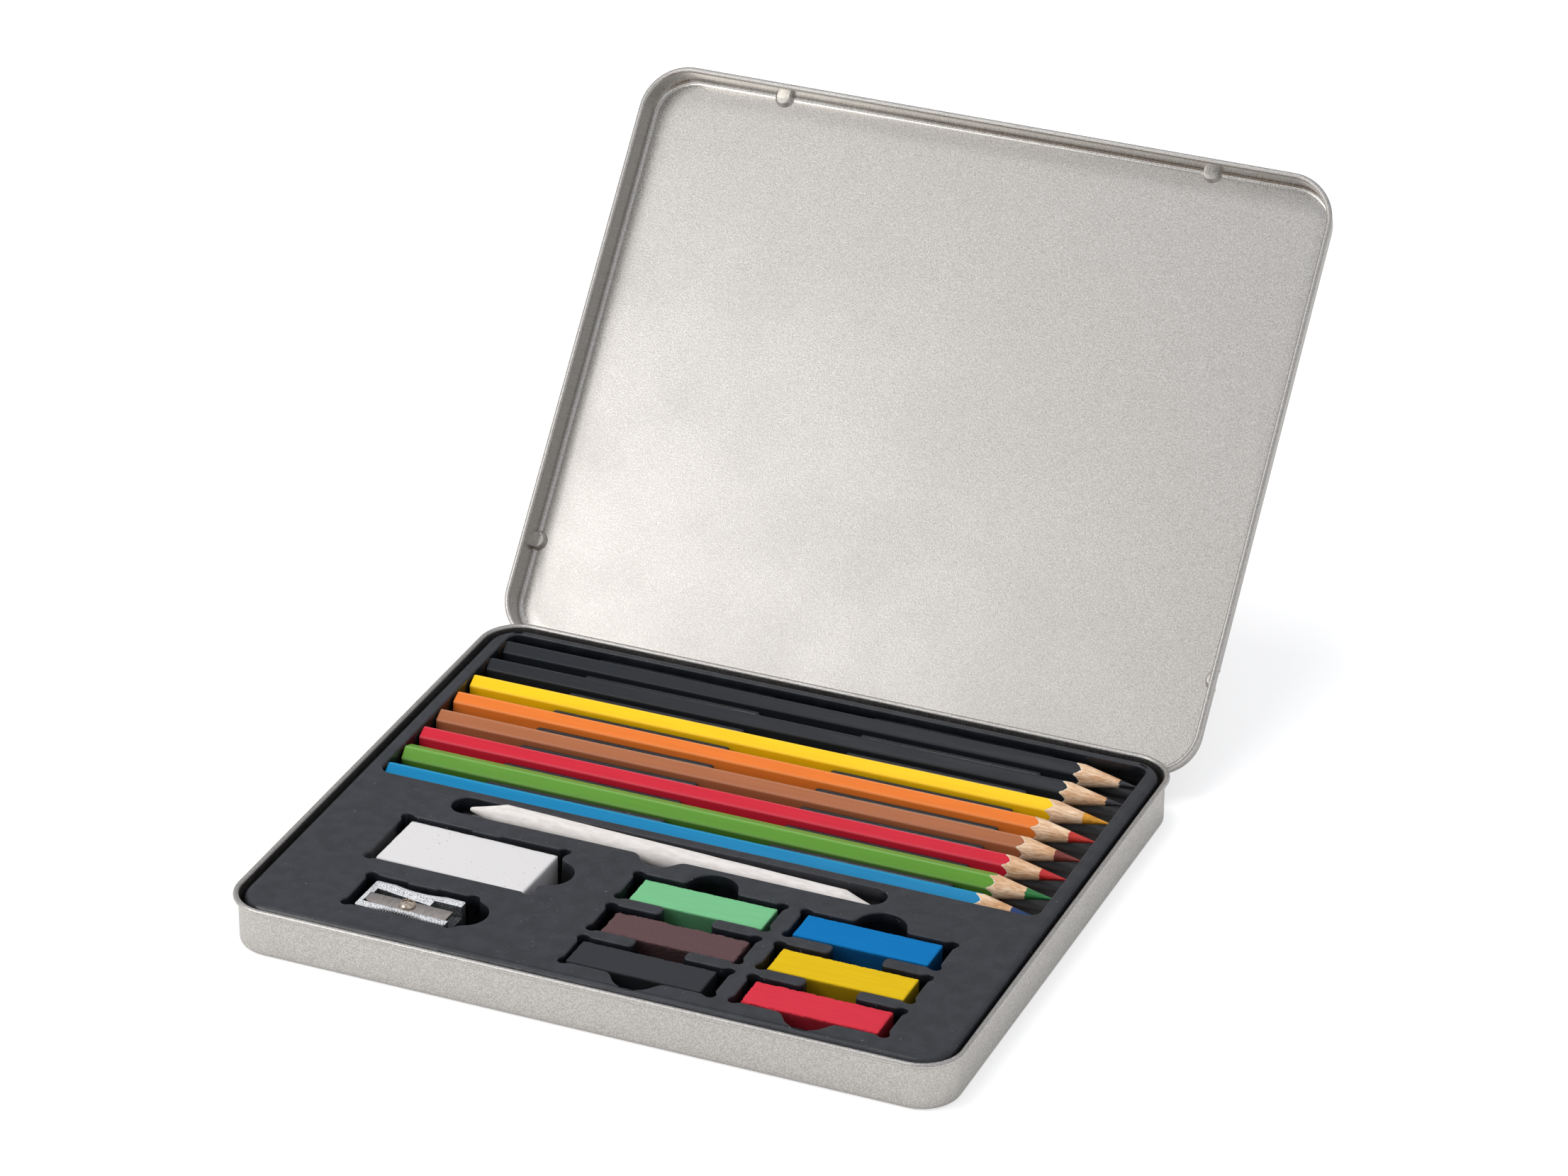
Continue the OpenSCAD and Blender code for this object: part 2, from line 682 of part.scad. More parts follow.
module eraser() {
    color(RUBBER) translate([eraser_x, eraser_y + eraser_lie, pocket_z + seat_gap])
        rotate([0, 0, eraser_turn]) linear_extrude(eraser_h) round_rect(eraser_l, eraser_w, eraser_r);
}

// Places its children at the sharpener, with z = 0 at its underside.
module at_sharpener() {
    translate([sharpener_x, sharpener_y, pocket_z + seat_gap]) rotate([0, 0, sharpener_turn]) children();
}

// Seat of the blade, or the blade itself, along the cutting side of the pencil hole.
module blade_shape(g = 0) {
    translate([-blade_l / 2 - g, blade_y - blade_w / 2 - g]) square([blade_l + 2 * g, blade_w + 2 * g]);
}

// Block with a waist, a tapered pencil hole, a slot beside the blade and a lowered step at the far end.
module sharpener_body() {
    edge_y = blade_y + blade_w / 2 + blade_gap;
    front_y = blade_y - blade_w / 2 - blade_gap;
    hole_z = sharpener_h - blade_t - hole_d / 2;
    end = sharpener_l / 2;
    slot_start = chip_slot_in - end;
    color(ALLOY) at_sharpener() difference() {
        linear_extrude(sharpener_h) difference() {
            round_rect(sharpener_l, sharpener_w, sharpener_edge_r);
            for (side = [-1, 1])
                translate([0, side * (sharpener_w / 2 - waist_depth + waist_r)]) circle(waist_r, $fn = 96);
        }
        translate([0, 0, sharpener_h - blade_t]) linear_extrude(blade_t + past) blade_shape(blade_gap);
        translate([-end, edge_y, hole_z]) rotate([0, 90, 0]) {
            cylinder(d1 = hole_d, d2 = hole_tip_d, h = hole_l);
            translate([0, 0, -past]) cylinder(d = hole_d, h = past + bite);
            cylinder(d = hole_tip_d, h = sharpener_l + past);
        }
        translate([0, 0, hole_z]) linear_extrude(sharpener_h) polygon([
            [slot_start, edge_y - bite], [slot_start, edge_y + chip_slot_w],
            [slot_start + chip_slot_l, edge_y + bite], [slot_start + chip_slot_l, edge_y - bite]
        ]);
        translate([end - step_l, front_y, sharpener_h - step_depth])
            cube([step_l + past, sharpener_w / 2 - step_rim - front_y, step_depth + past]);
        translate([0, blade_y, sharpener_h - blade_t - screw_l])
            cylinder(d = screw_d + 2 * blade_gap, h = screw_l);
    }
}

module sharpener_blade() {
    color(STEEL) at_sharpener() translate([0, 0, sharpener_h - blade_t]) linear_extrude(blade_t)
        difference() {
            blade_shape();
            translate([0, blade_y]) circle(d = screw_d + 2 * blade_gap);
        }
}

// Raised screw with a domed head and a cross recess.
module sharpener_screw() {
    dome_h = screw_head_h - screw_edge_h;
    dome_r = (screw_head_d * screw_head_d / 4 + dome_h * dome_h) / (2 * dome_h);
    color(STEEL) at_sharpener() translate([0, blade_y, sharpener_h]) difference() {
        union() {
            rotate_extrude() intersection() {
                translate([0, screw_head_h - dome_r]) circle(dome_r, $fn = 96);
                square([screw_head_d / 2, screw_head_h]);
            }
            translate([0, 0, -screw_l]) cylinder(d = screw_d, h = screw_l);
        }
        for (turn = [screw_turn, screw_turn + 90])
            rotate([0, 0, turn]) translate([-recess_l / 2, -recess_w / 2, screw_head_h - recess_depth])
                cube([recess_l, recess_w, past]);
    }
}

// Pastel i lies in row floor(i / 2) of column i % 2.
module pastel(i) {
    place = [
        column_at(i % 2) + PASTEL_LIE[i][0] * pastel_room_x,
        row_at(floor(i / 2)) + PASTEL_LIE[i][1] * pastel_room_y,
        pocket_z + seat_gap
    ];
    color(PASTEL_COLOURS[i]) translate(place) linear_extrude(pastel_w)
        round_rect(pastel_l, pastel_w, pastel_edge_r);
}

base_shell();
hinge_strap_left();
hinge_strap_right();
lid_shell();
hinge_pin_left();
hinge_pin_right();
tray();
for (i = [0:lanes - 1]) {
    casing(i);
    lead(i);
}
blending_stump();
eraser();
sharpener_body();
sharpener_blade();
sharpener_screw();
for (i = [0:len(PASTELS) - 1])
    pastel(i);
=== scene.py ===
import math

import bmesh  # noqa: E402
import bpy  # noqa: E402
import numpy as np  # noqa: E402
from mathutils import Matrix, Vector  # noqa: E402
from mathutils.geometry import delaunay_2d_cdt, tessellate_polygon  # noqa: E402


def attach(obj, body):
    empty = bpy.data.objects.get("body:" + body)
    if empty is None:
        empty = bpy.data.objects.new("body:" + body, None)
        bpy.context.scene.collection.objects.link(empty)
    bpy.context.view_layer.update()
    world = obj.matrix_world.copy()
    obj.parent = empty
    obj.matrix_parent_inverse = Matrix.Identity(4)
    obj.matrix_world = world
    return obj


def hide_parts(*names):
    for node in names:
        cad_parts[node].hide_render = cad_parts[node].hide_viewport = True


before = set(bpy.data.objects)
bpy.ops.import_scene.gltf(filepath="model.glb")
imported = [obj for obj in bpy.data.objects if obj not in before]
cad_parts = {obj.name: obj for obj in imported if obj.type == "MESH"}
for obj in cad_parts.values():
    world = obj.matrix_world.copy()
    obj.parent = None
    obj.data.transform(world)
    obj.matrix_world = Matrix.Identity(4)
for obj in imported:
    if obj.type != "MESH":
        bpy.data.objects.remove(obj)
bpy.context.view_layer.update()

# The view, the table and the light. The tin stands on a white table that keeps its shadow. A broad
# soft lamp hangs overhead, beside a small one that only shows in polish, and a soft one on the left
# shines into the lid.
scene = bpy.context.scene
scene.view_settings.view_transform = "Standard"

camera = bpy.data.objects.new("Camera", bpy.data.cameras.new("Camera"))
scene.collection.objects.link(camera)
camera.location = (0.525907, -1.184560, 0.778910)
camera.rotation_mode = "QUATERNION"
camera.rotation_quaternion = (0.8407450, 0.5025549, 0.1018680, 0.1738079)
camera.data.sensor_width = 36
camera.data.lens = 140.668
camera.data.clip_start = 0.05
camera.data.clip_end = 40
scene.camera = camera


def node_in(tree, kind, feeds=None, **settings):
    """Adds a node with its settings, and feeds its sockets with links or plain values."""
    node = tree.nodes.new(kind)
    for key, value in settings.items():
        setattr(node, key, value)
    for key, value in (feeds or {}).items():
        if isinstance(value, bpy.types.NodeSocket):
            tree.links.new(value, node.inputs[key])
        else:
            node.inputs[key].default_value = value
    return node


def maths(tree, operation, *values):
    """Output of a Math node over sockets and plain numbers."""
    return node_in(tree, "ShaderNodeMath", dict(enumerate(values)), operation=operation).outputs[0]


def mixed(tree, factor, a, b, blend_type="MIX"):
    """Output of a colour mix from a to b."""
    feeds = {"Factor": factor, "A": a, "B": b}
    return node_in(tree, "ShaderNodeMix", feeds, data_type="RGBA", blend_type=blend_type).outputs["Result"]


def remapped(tree, value, low, high, start=0.0, end=1.0):
    """The value's run from start to end, spread between low and high."""
    feeds = {"Value": value, "From Min": start, "From Max": end, "To Min": low, "To Max": high}
    return node_in(tree, "ShaderNodeMapRange", feeds).outputs["Result"]


def finish_of(name, **sockets):
    """A new material with a Principled shader and its plain values."""
    made = bpy.data.materials.new(name)
    made.use_nodes = True
    shader = made.node_tree.nodes["Principled BSDF"]
    for key, value in sockets.items():
        shader.inputs[key.replace("_", " ")].default_value = value
    return made, made.node_tree, shader


def paper_white(tree, for_camera, for_mirrors):
    """Glow of the paper as the camera sees it, and as polished metal does."""
    path = node_in(tree, "ShaderNodeLightPath").outputs
    mirrored = maths(tree, "MAXIMUM", path["Is Glossy Ray"], path["Is Transmission Ray"])
    reflected = maths(tree, "MULTIPLY", mirrored, for_mirrors)
    return maths(tree, "MULTIPLY_ADD", path["Is Camera Ray"], for_camera, reflected)


TABLE_HALF = 6.0
table_mesh = bpy.data.meshes.new("table")
corners = [(x * TABLE_HALF, y * TABLE_HALF, 0) for x, y in ((-1, -1), (1, -1), (1, 1), (-1, 1))]
table_mesh.from_pydata(corners, [], [(0, 1, 2, 3)])
table_top = bpy.data.objects.new("table", table_mesh)
scene.collection.objects.link(table_top)
table_white, tree, shader = finish_of(
    "table_white", Base_Color=(0.72, 0.72, 0.72, 1), Roughness=1.0, Specular_IOR_Level=0.0,
    Emission_Color=(1, 1, 1, 1),
)
tree.links.new(paper_white(tree, 0.55, 0.16), shader.inputs["Emission Strength"])
table_mesh.materials.append(table_white)

world = bpy.data.worlds.new("studio")
scene.world = world
world.use_nodes = True
sky = world.node_tree
sky_place = node_in(sky, "ShaderNodeTexCoord").outputs["Generated"]
up = node_in(sky, "ShaderNodeSeparateXYZ", {0: sky_place}).outputs["Z"]
sky_tone = node_in(sky, "ShaderNodeValToRGB", {"Fac": up})
horizon, haze = sky_tone.color_ramp.elements
horizon.color = (1.0, 1.0, 1.0, 1)
haze.position, haze.color = 0.28, (0.34, 0.35, 0.37, 1)
sky_tone.color_ramp.elements.new(0.72).color = (0.60, 0.61, 0.64, 1)
seen = node_in(sky, "ShaderNodeLightPath").outputs
backdrop = sky.nodes["Background"].inputs
sky.links.new(mixed(sky, seen["Is Camera Ray"], sky_tone.outputs["Color"], (1, 1, 1, 1)), backdrop["Color"])
sky.links.new(remapped(sky, seen["Is Diffuse Ray"], 1.0, 1.1), backdrop["Strength"])


def softbox(name, place, target, width, height, watts, tint):
    """A soft lamp of that size in metres, pointed at the target."""
    lamp = bpy.data.lights.new(name, "AREA")
    lamp.shape = "RECTANGLE"
    lamp.size, lamp.size_y = width, height
    lamp.energy = watts
    lamp.color = tint
    held = bpy.data.objects.new(name, lamp)
    scene.collection.objects.link(held)
    held.location = place
    held.rotation_euler = (Vector(target) - Vector(place)).to_track_quat("-Z", "Y").to_euler()
    return held


overhead = softbox("overhead", (-0.35, -0.05, 1.30), (0, 0, 0), 0.9, 0.9, 9.0, (1.0, 0.99, 0.97))
overhead.visible_glossy = False
glint = softbox("glint", (-0.33, -0.03, 1.20), (0, 0, 0), 0.22, 0.22, 1.0, (1.0, 1.0, 1.0))
glint.visible_diffuse = False
softbox("left_front", (-0.40, -0.36, 0.44), (-0.10, 0.10, 0.03), 0.34, 0.34, 1.15, (1.0, 0.985, 0.965))


# The tin's two pans. Each is one sheet of bright tinplate with a fine satin grain, drawn over a
# block with round corners, its wall folded up and its edge rolled outwards into an open curl.
MM = 0.001
TIN_W, TIN_D, TIN_H = 190.0, 156.84, 13.4
TIN_CORNER = 11.2
SHEET = 0.28
BEAD = 1.5
FOLD = 1.4
CURL_TURN = 290
LID_W, LID_D, LID_H = 193.3, 160.14, 8.25
LID_CORNER = 12.85
LID_TOP = 15.28
HINGE_Y, HINGE_Z = 79.32, 7.78
LID_OPEN = math.radians(130)
STOP_W, STOP_REACH, STOP_H = 5.4, 3.2, 1.55

STOP_X, STOP_Y = 60.0, 27.5
NOTCH_X, NOTCH_HALF = 55.0, 6.3


def srgb(red, green, blue):
    """Linear colour of a tint given in the usual 0 to 255."""
    out = [c / 255 for c in (red, green, blue)]
    return tuple(c / 12.92 if c <= 0.04045 else ((c + 0.055) / 1.055) ** 2.4 for c in out) + (1.0,)


def new_tree(name, kind, ins, outs):
    """A node group with its sockets, where an input may bring its value. Returns both socket lists too."""
    tree = bpy.data.node_groups.new(name, kind)
    for label, holds, *value in ins:
        socket = tree.interface.new_socket(name=label, in_out="INPUT", socket_type=f"NodeSocket{holds}")
        if value:
            socket.default_value = value[0]
    for label, holds in outs:
        tree.interface.new_socket(name=label, in_out="OUTPUT", socket_type=f"NodeSocket{holds}")
    return tree, tree.nodes.new("NodeGroupInput").outputs, tree.nodes.new("NodeGroupOutput").inputs


def make_grain_group():
    """Grain: noise on the piece's own coordinates, stretched as asked, as a mask and a colour."""
    tree, taken, given = new_tree(
        "grain", "ShaderNodeTree",
        (
            ("Size", "Float", 0.001), ("Stretch", "Vector", (1, 1, 1)), ("Detail", "Float", 3.0),
            ("Low", "Float", 0.35), ("High", "Float", 0.65),
            ("Dark", "Color", (0, 0, 0, 1)), ("Light", "Color", (1, 1, 1, 1)),
        ),
        (("Mask", "Float"), ("Color", "Color")),
    )
    place = node_in(tree, "ShaderNodeTexCoord").outputs["Object"]
    drawn_out = node_in(tree, "ShaderNodeVectorMath", {0: place, 1: taken["Stretch"]}, operation="MULTIPLY")
    scale = maths(tree, "DIVIDE", 1.0, taken["Size"])
    feeds = {"Vector": drawn_out.outputs[0], "Scale": scale, "Detail": taken["Detail"]}
    noise = node_in(tree, "ShaderNodeTexNoise", feeds).outputs["Fac"]
    feeds = {"Value": noise, "From Min": taken["Low"], "From Max": taken["High"]}
    mask = node_in(tree, "ShaderNodeMapRange", feeds, interpolation_type="SMOOTHSTEP").outputs["Result"]
    tree.links.new(mask, given["Mask"])
    tree.links.new(mixed(tree, mask, taken["Dark"], taken["Light"]), given["Color"])
    return tree


grain = make_grain_group()


def grain_on(tree, **values):
    """The grain in a material, with its own values and tints. Returns its outputs."""
    feeds = {key: srgb(*value) if key in ("Dark", "Light") else value for key, value in values.items()}
    return node_in(tree, "ShaderNodeGroup", feeds, node_tree=grain).outputs


def grained(name, values, **grain_values):
    """A finish coloured by the grain. Returns the material, its tree, its shader and the grain's mask."""
    made, tree, shader = finish_of(name, **values)
    fibre = grain_on(tree, **grain_values)
    tree.links.new(fibre["Color"], shader.inputs["Base Color"])
    return made, tree, shader, fibre["Mask"]


def bump_on(tree, shader, height, strength, depth, under=None):
    """Feeds a height through a Bump node to the shader's normal."""
    feeds = {"Height": height, "Strength": strength, "Distance": depth}
    if under is not None:
        feeds["Normal"] = under
    normal = node_in(tree, "ShaderNodeBump", feeds).outputs["Normal"]
    tree.links.new(normal, shader.inputs["Normal"])
    return normal


tinplate, tree, shader, speckle = grained(
    "satin_tinplate", {"Metallic": 1.0, "Roughness": 0.4},
    Size=0.0003, Detail=2.5, Low=0.32, High=0.68, Dark=(179, 175, 170), Light=(217, 214, 209),
)
clouds = grain_on(tree, Size=0.03, Low=0.3, High=0.7)["Mask"]
drawn_part = node_in(tree, "ShaderNodeAttribute", attribute_name="drawn").outputs["Fac"]
rough = maths(tree, "ADD", remapped(tree, speckle, 0.36, 0.44), remapped(tree, clouds, -0.02, 0.03))
tree.links.new(maths(tree, "MULTIPLY_ADD", drawn_part, -0.17, rough), shader.inputs["Roughness"])
relief = maths(tree, "MULTIPLY", maths(tree, "MULTIPLY_ADD", drawn_part, -0.75, 1.0), speckle)
bump_on(tree, shader, relief, 0.3, 0.00005)


def mesh_piece(name, verts, faces, materials, picks=None, smooth=True, closed=True):
    """Makes an object from vertices in millimetres, with its faces turned outwards when it is closed."""
    mesh = bpy.data.meshes.new(name)
    mesh.from_pydata([tuple(c * MM for c in v) for v in verts], [], [tuple(int(i) for i in f) for f in faces])
    for used in materials:
        mesh.materials.append(used)
    if picks is not None:
        mesh.polygons.foreach_set("material_index", picks)
    if closed:
        shell = bmesh.new()
        shell.from_mesh(mesh)
        bmesh.ops.recalc_face_normals(shell, faces=shell.faces)
        shell.to_mesh(mesh)
        shell.free()
    mesh.polygons.foreach_set("use_smooth", [smooth] * len(mesh.polygons))
    mesh.update()
    made = bpy.data.objects.new(name, mesh)
    scene.collection.objects.link(made)
    return made


def rounded_path(w, d, r, steps=16, guard=0.6):
    """Centres and outward normals round a rounded rectangle, with a spare station beside each corner."""
    centres, normals = [], []
    for i, (sx, sy) in enumerate(((1, 1), (-1, 1), (-1, -1), (1, -1))):
        centre = np.array([sx * (w / 2 - r), sy * (d / 2 - r)])
        for k in range(-1, steps + 2):
            angle = math.radians(90 * i + 90 * min(max(k, 0), steps) / steps)
            along = np.array([-math.sin(angle), math.cos(angle)])
            step = -guard if k < 0 else guard if k > steps else 0.0
            centres.append(centre + along * step)
            normals.append((math.cos(angle), math.sin(angle)))
    return np.array(centres), np.array(normals)


def swept(section, path, r):
    """Vertices and faces of an open section, given as (inwards is negative, height), led round a path."""
    centres, normals = path
    n, m = len(centres), len(section)
    verts = [(*(centres[j] + (r + x) * normals[j]), z) for j in range(n) for x, z in section]
    faces = []
    for j in range(n):
        a, b = j * m, (j + 1) % n * m
        faces += [(a + k, b + k, b + k + 1, a + k + 1) for k in range(m - 1)]
    return verts, faces


def tube_faces(rings, n):
    """Faces of a tube of that many rings of n points each, capped at both ends."""
    sides = [
        (k + j, k + (j + 1) % n, k + n + (j + 1) % n, k + n + j)
        for k in range(0, (rings - 1) * n, n) for j in range(n)
    ]
    return sides + [list(range(n))[::-1], [(rings - 1) * n + j for j in range(n)]]


def pan_section(h):
    """Both skins of the sheet from the middle of the panel over fold, wall and curl and back."""
    half = SHEET / 2
    inset = BEAD - SHEET + FOLD
    line = [(-inset - 4, half, 0, 1), (-inset - 0.2, half, 0, 1)]
    for k in range(11):
        a = math.radians(9 * k - 90)
        c, s = math.cos(a), math.sin(a)
        line.append((-inset + (FOLD - half) * c, FOLD + (FOLD - half) * s, -c, -s))
    line += [(half - BEAD, z, -1, 0) for z in (FOLD + 0.2, h - BEAD - 0.5, h - BEAD / 2 - 0.2)]
    roll = BEAD / 2 - half
    for k in range(33):
        a = math.radians(180 - CURL_TURN * k / 32)
        c, s = math.cos(a), math.sin(a)
        line.append((-BEAD / 2 + roll * c, h - BEAD / 2 + roll * s, c, s))
    outer = [(x - nx * half, z - nz * half) for x, z, nx, nz in line]
    inner = [(x + nx * half, z + nz * half) for x, z, nx, nz in line]
    return outer + inner[::-1]


def pan(name, w, d, r, h):
    """A drawn pan with its panel at z = 0 and its curled edge at z = h."""
    section = pan_section(h)
    path = rounded_path(w, d, r)
    verts, faces = swept(section, path, r)
    n, m = len(path[0]), len(section)
    faces.append([j * m for j in range(n)][::-1])
    faces.append([j * m + m - 1 for j in range(n)])
    return mesh_piece(name, verts, faces, [tinplate])


def applied(piece):
    """Turns a piece's modifiers into plain mesh."""
    bpy.context.view_layer.update()
    evaluated = piece.evaluated_get(bpy.context.evaluated_depsgraph_get())
    mesh = bpy.data.meshes.new_from_object(evaluated)
    piece.modifiers.clear()
    old = piece.data
    piece.data = mesh
    mesh.name = old.name
    bpy.data.meshes.remove(old)
    return piece


def combined(piece, others, operation):
    """Joins or cuts the piece with other closed shapes, which are used up."""
    for other in others:
        cut = piece.modifiers.new("shape", "BOOLEAN")
        cut.operation = operation
        cut.solver = "EXACT"
        cut.object = other
    applied(piece)
    for other in others:
        mesh = other.data
        bpy.data.objects.remove(other)
        bpy.data.meshes.remove(mesh)
    return piece


def smoothed(piece, degrees):
    """Smooth shading that keeps edges sharper than the angle crisp."""
    mesh = piece.data
    mesh.polygons.foreach_set("use_smooth", [True] * len(mesh.polygons))
    mesh.set_sharp_from_angle(angle=math.radians(degrees))
    return piece


def box_shape(name, low, high):
    """A plain cutting block in millimetres."""
    corners = [(x, y, z) for z in (low[2], high[2]) for y in (low[1], high[1]) for x in (low[0], high[0])]
    faces = [(0, 2, 3, 1), (4, 5, 7, 6), (0, 1, 5, 4), (2, 6, 7, 3), (0, 4, 6, 2), (1, 3, 7, 5)]
    return mesh_piece(name, corners, faces, [], smooth=False)


def stop_shape(name, levels, start, place, turn, under):
    """A tongue pressed in beside the skirt, lofted from (inset, rise) levels, Y pointing into the lid."""
    arc = [math.radians(180 - 12 * k) for k in range(16)]
    middle = STOP_REACH - STOP_W / 2
    c, s = math.cos(turn), math.sin(turn)
    verts = []
    for inset, rise in levels:
        half = STOP_W / 2 - inset
        bend = [(half * math.cos(a), middle + half * math.sin(a)) for a in arc]
        ring = [(-half, start), *bend, (half, start)]
        verts += [(place[0] + x * c - y * s, place[1] + x * s + y * c, under - rise) for x, y in ring]
    return mesh_piece(name, verts, tube_faces(len(levels), len(arc) + 2), [tinplate])


def sd_rect(x, y, cx, cy, w, d, r=0.0):
    """Signed distance to a rounded rectangle."""
    qx, qy = np.abs(x - cx) - w / 2 + r, np.abs(y - cy) - d / 2 + r
    return np.hypot(np.maximum(qx, 0), np.maximum(qy, 0)) + np.minimum(np.maximum(qx, qy), 0) - r


def marked(mesh, name, values):
    """Writes one number per vertex, for the material to read."""
    mark = mesh.attributes.new(name, "FLOAT", "POINT")
    mark.data.foreach_set("value", np.asarray(values, np.float32))


def burnished(piece, w, d, r, top):
    """Marks how far the die has rubbed each spot of a pan bright: the inner skin of fold, wall and curl."""
    spots = np.empty(len(piece.data.vertices) * 3)
    piece.data.vertices.foreach_get("co", spots)
    x, y, z = spots.reshape(-1, 3).T / MM
    inward = -sd_rect(x, y, 0, 0, w, d, r)
    skin = SHEET * 0.6
    rubbed = np.clip((BEAD + FOLD + 0.6 - inward) / 0.8, 0, 1)
    marked(piece.data, "drawn", rubbed * (z < top - skin) * (inward > BEAD - skin))


base = pan("base_pan", TIN_W, TIN_D, TIN_CORNER, TIN_H)
smoothed(base, 50)
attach(base, "base")
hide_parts("base_shell")

lid = pan("lid_pan", LID_W, LID_D, LID_CORNER, LID_H)
lid.data.transform(Matrix.Translation((0, 0, LID_TOP * MM)) @ Matrix.Diagonal((1, 1, -1, 1)))
lid.data.flip_normals()
under = LID_TOP - SHEET
TONGUE = ((-0.1, -0.1), (0.0, 0.06), (0.12, 0.3), (0.55, 1.22), (0.66, 1.42), (0.84, 1.53), (1.05, STOP_H))
DIMPLE = ((0.1, -2.0), (0.26, 0.05), (0.84, 1.14), (1.0, 1.25), (1.2, 1.27))
tongues, dimples, notches = [], [], []
for side in (-1, 1):
    for place, turn in (
        ((side * STOP_X, -LID_D / 2 + BEAD), 0.0),
        ((side * (LID_W / 2 - BEAD), HINGE_Y - STOP_Y), side * math.pi / 2),
    ):
        tongues.append(stop_shape("tongue", TONGUE, -0.14, place, turn, under))
        dimples.append(stop_shape("dimple", DIMPLE, -1.5, place, turn, under))
    low = (side * NOTCH_X - NOTCH_HALF, HINGE_Y - BEAD, HINGE_Z - BEAD)
    high = (side * NOTCH_X + NOTCH_HALF, HINGE_Y + BEAD, HINGE_Z + 1.8)
    notches.append(box_shape("notch", low, high))
combined(lid, tongues, "UNION")
combined(lid, dimples + notches, "DIFFERENCE")
burnished(lid, LID_W, LID_D, LID_CORNER, LID_TOP)
hinge = Vector((0, HINGE_Y * MM, HINGE_Z * MM))
swing = Matrix.Translation(hinge) @ Matrix.Rotation(-LID_OPEN, 4, "X") @ Matrix.Translation(-hinge)
lid.data.transform(swing)
smoothed(lid, 40)
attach(lid, "lid")
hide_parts("lid_shell")


# The hinges. Two short straps of the same tinplate lie on the back wall and are curled round a
# steel wire each, and the wire's ends are held in the lid's rolled edge.
def dressed(node, finish):
    """Gives a carried-over CAD node its material."""
    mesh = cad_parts[node].data
    mesh.materials.clear()
    mesh.materials.append(finish)
    mesh.polygons.foreach_set("material_index", [0] * len(mesh.polygons))


wire, tree, shader, drawn = grained(
    "drawn_wire", {"Metallic": 1.0, "Roughness": 0.3},
    Size=0.0004, Stretch=(0.05, 1, 1), Detail=2.0, Dark=(150, 150, 152), Light=(205, 206, 208),
)
tree.links.new(remapped(tree, drawn, 0.24, 0.38), shader.inputs["Roughness"])
for side in ("left", "right"):
    dressed(f"hinge_strap_{side}", tinplate)
    dressed(f"hinge_pin_{side}", wire)


# The tray. One thin sheet of black plastic, vacuum-formed over a mould, with pockets for all that
# the tin holds. Its deck is matt, and the drawn walls of the pockets come out glossy.
TRAY_W, TRAY_D = 186.3, 153.14
TRAY_CORNER = 9.35
TRAY_Z = 0.637
DECK_Z = 12.9
SHOULDER = 1.8
TAPER = 0.9
TRAY_SHEET = 0.45
LANES_Y = (72.87, -5.05)
LANES_HALF = 88.1
LANE_PITCH = 9.8
FIRST_LANE_Y = 68.21
LANE_Z = 9.4
LAND_Z = 6.8
TROUGH_R, TROUGH_HALF = 3.55, 2.417
SLOT_X, SLOT_Y, SLOT_L, SLOT_W, SLOT_Z = -6.1, -11.85, 116.0, 7.8, 7.0
ERASER_X, ERASER_Y, ERASER_POCKET = -50.0, -32.75, (44.16, 21.7)
SHARPENER_X, SHARPENER_Y, SHARPENER_POCKET = -53.2, -57.83, (28.6, 14.66)
COLUMNS = (11.3, 55.4)
ROWS = (-30.30, -46.36, -62.42)
PASTEL_POCKET = (39.2, 12.3)
POCKET_Z = 2.2
RELIEF_R, RELIEF_IN = 1.4, 0.6
SLOT_HOLLOW_Y, SLOT_HOLLOW_R = SLOT_Y - 3.03, 5.2
HOLLOW_R, REAR_HOLLOW_R = 6.1, 6.5
REAR_HOLLOW_Y, FRONT_HOLLOW_Y = ROWS[0] + 6.15, ROWS[2] - 5.15
TAB_W, TAB_D, TAB_IN, TAB_R = 8.0, 2.0, 0.4, 0.6
BOWL_REACH = 2.6
LANES_CORNER, FOOT_DRAFT, FOOT_BEND = 3.0, 0.1, 0.25
NUDGE = 0.01


def sd_circle(x, y, cx, cy, r):
    """Signed distance to a circle."""
    return np.hypot(x - cx, y - cy) - r


def melt(a, b, k):
    """Union of two distance fields with a fillet of about k where they meet."""
    h = np.maximum(k - np.abs(a - b), 0) / k
    return np.minimum(a, b) - h * h * k / 4


def sd_relieved(x, y, cx, cy, w, d):
    """Pocket with a small round relief in each corner."""
    f = sd_rect(x, y, cx, cy, w, d)
    for sx in (-1, 1):
        for sy in (-1, 1):
            spot = (cx + sx * (w / 2 - RELIEF_IN), cy + sy * (d / 2 - RELIEF_IN))
            f = melt(f, sd_circle(x, y, *spot, RELIEF_R), 0.9)
    return f


def slot_field(x, y):
    """The stump's slot, widened to the front by a finger hollow."""
    f = sd_rect(x, y, SLOT_X, SLOT_Y, SLOT_L, SLOT_W, SLOT_W / 2 - 0.05)
    return melt(f, sd_circle(x, y, SLOT_X, SLOT_HOLLOW_Y, SLOT_HOLLOW_R), 2.4)


def tabbed_field(cx, cy, w, d):
    """A pocket with a finger hollow at its right end, and a tab of its back wall set forward."""
    def field(x, y):
        f = melt(sd_relieved(x, y, cx, cy, w, d), sd_circle(x, y, cx + w / 2, cy, HOLLOW_R), 1.8)
        return -melt(-f, sd_rect(x, y, cx, cy + d / 2 + TAB_IN, TAB_W, TAB_D, TAB_R), 0.9)

    return field


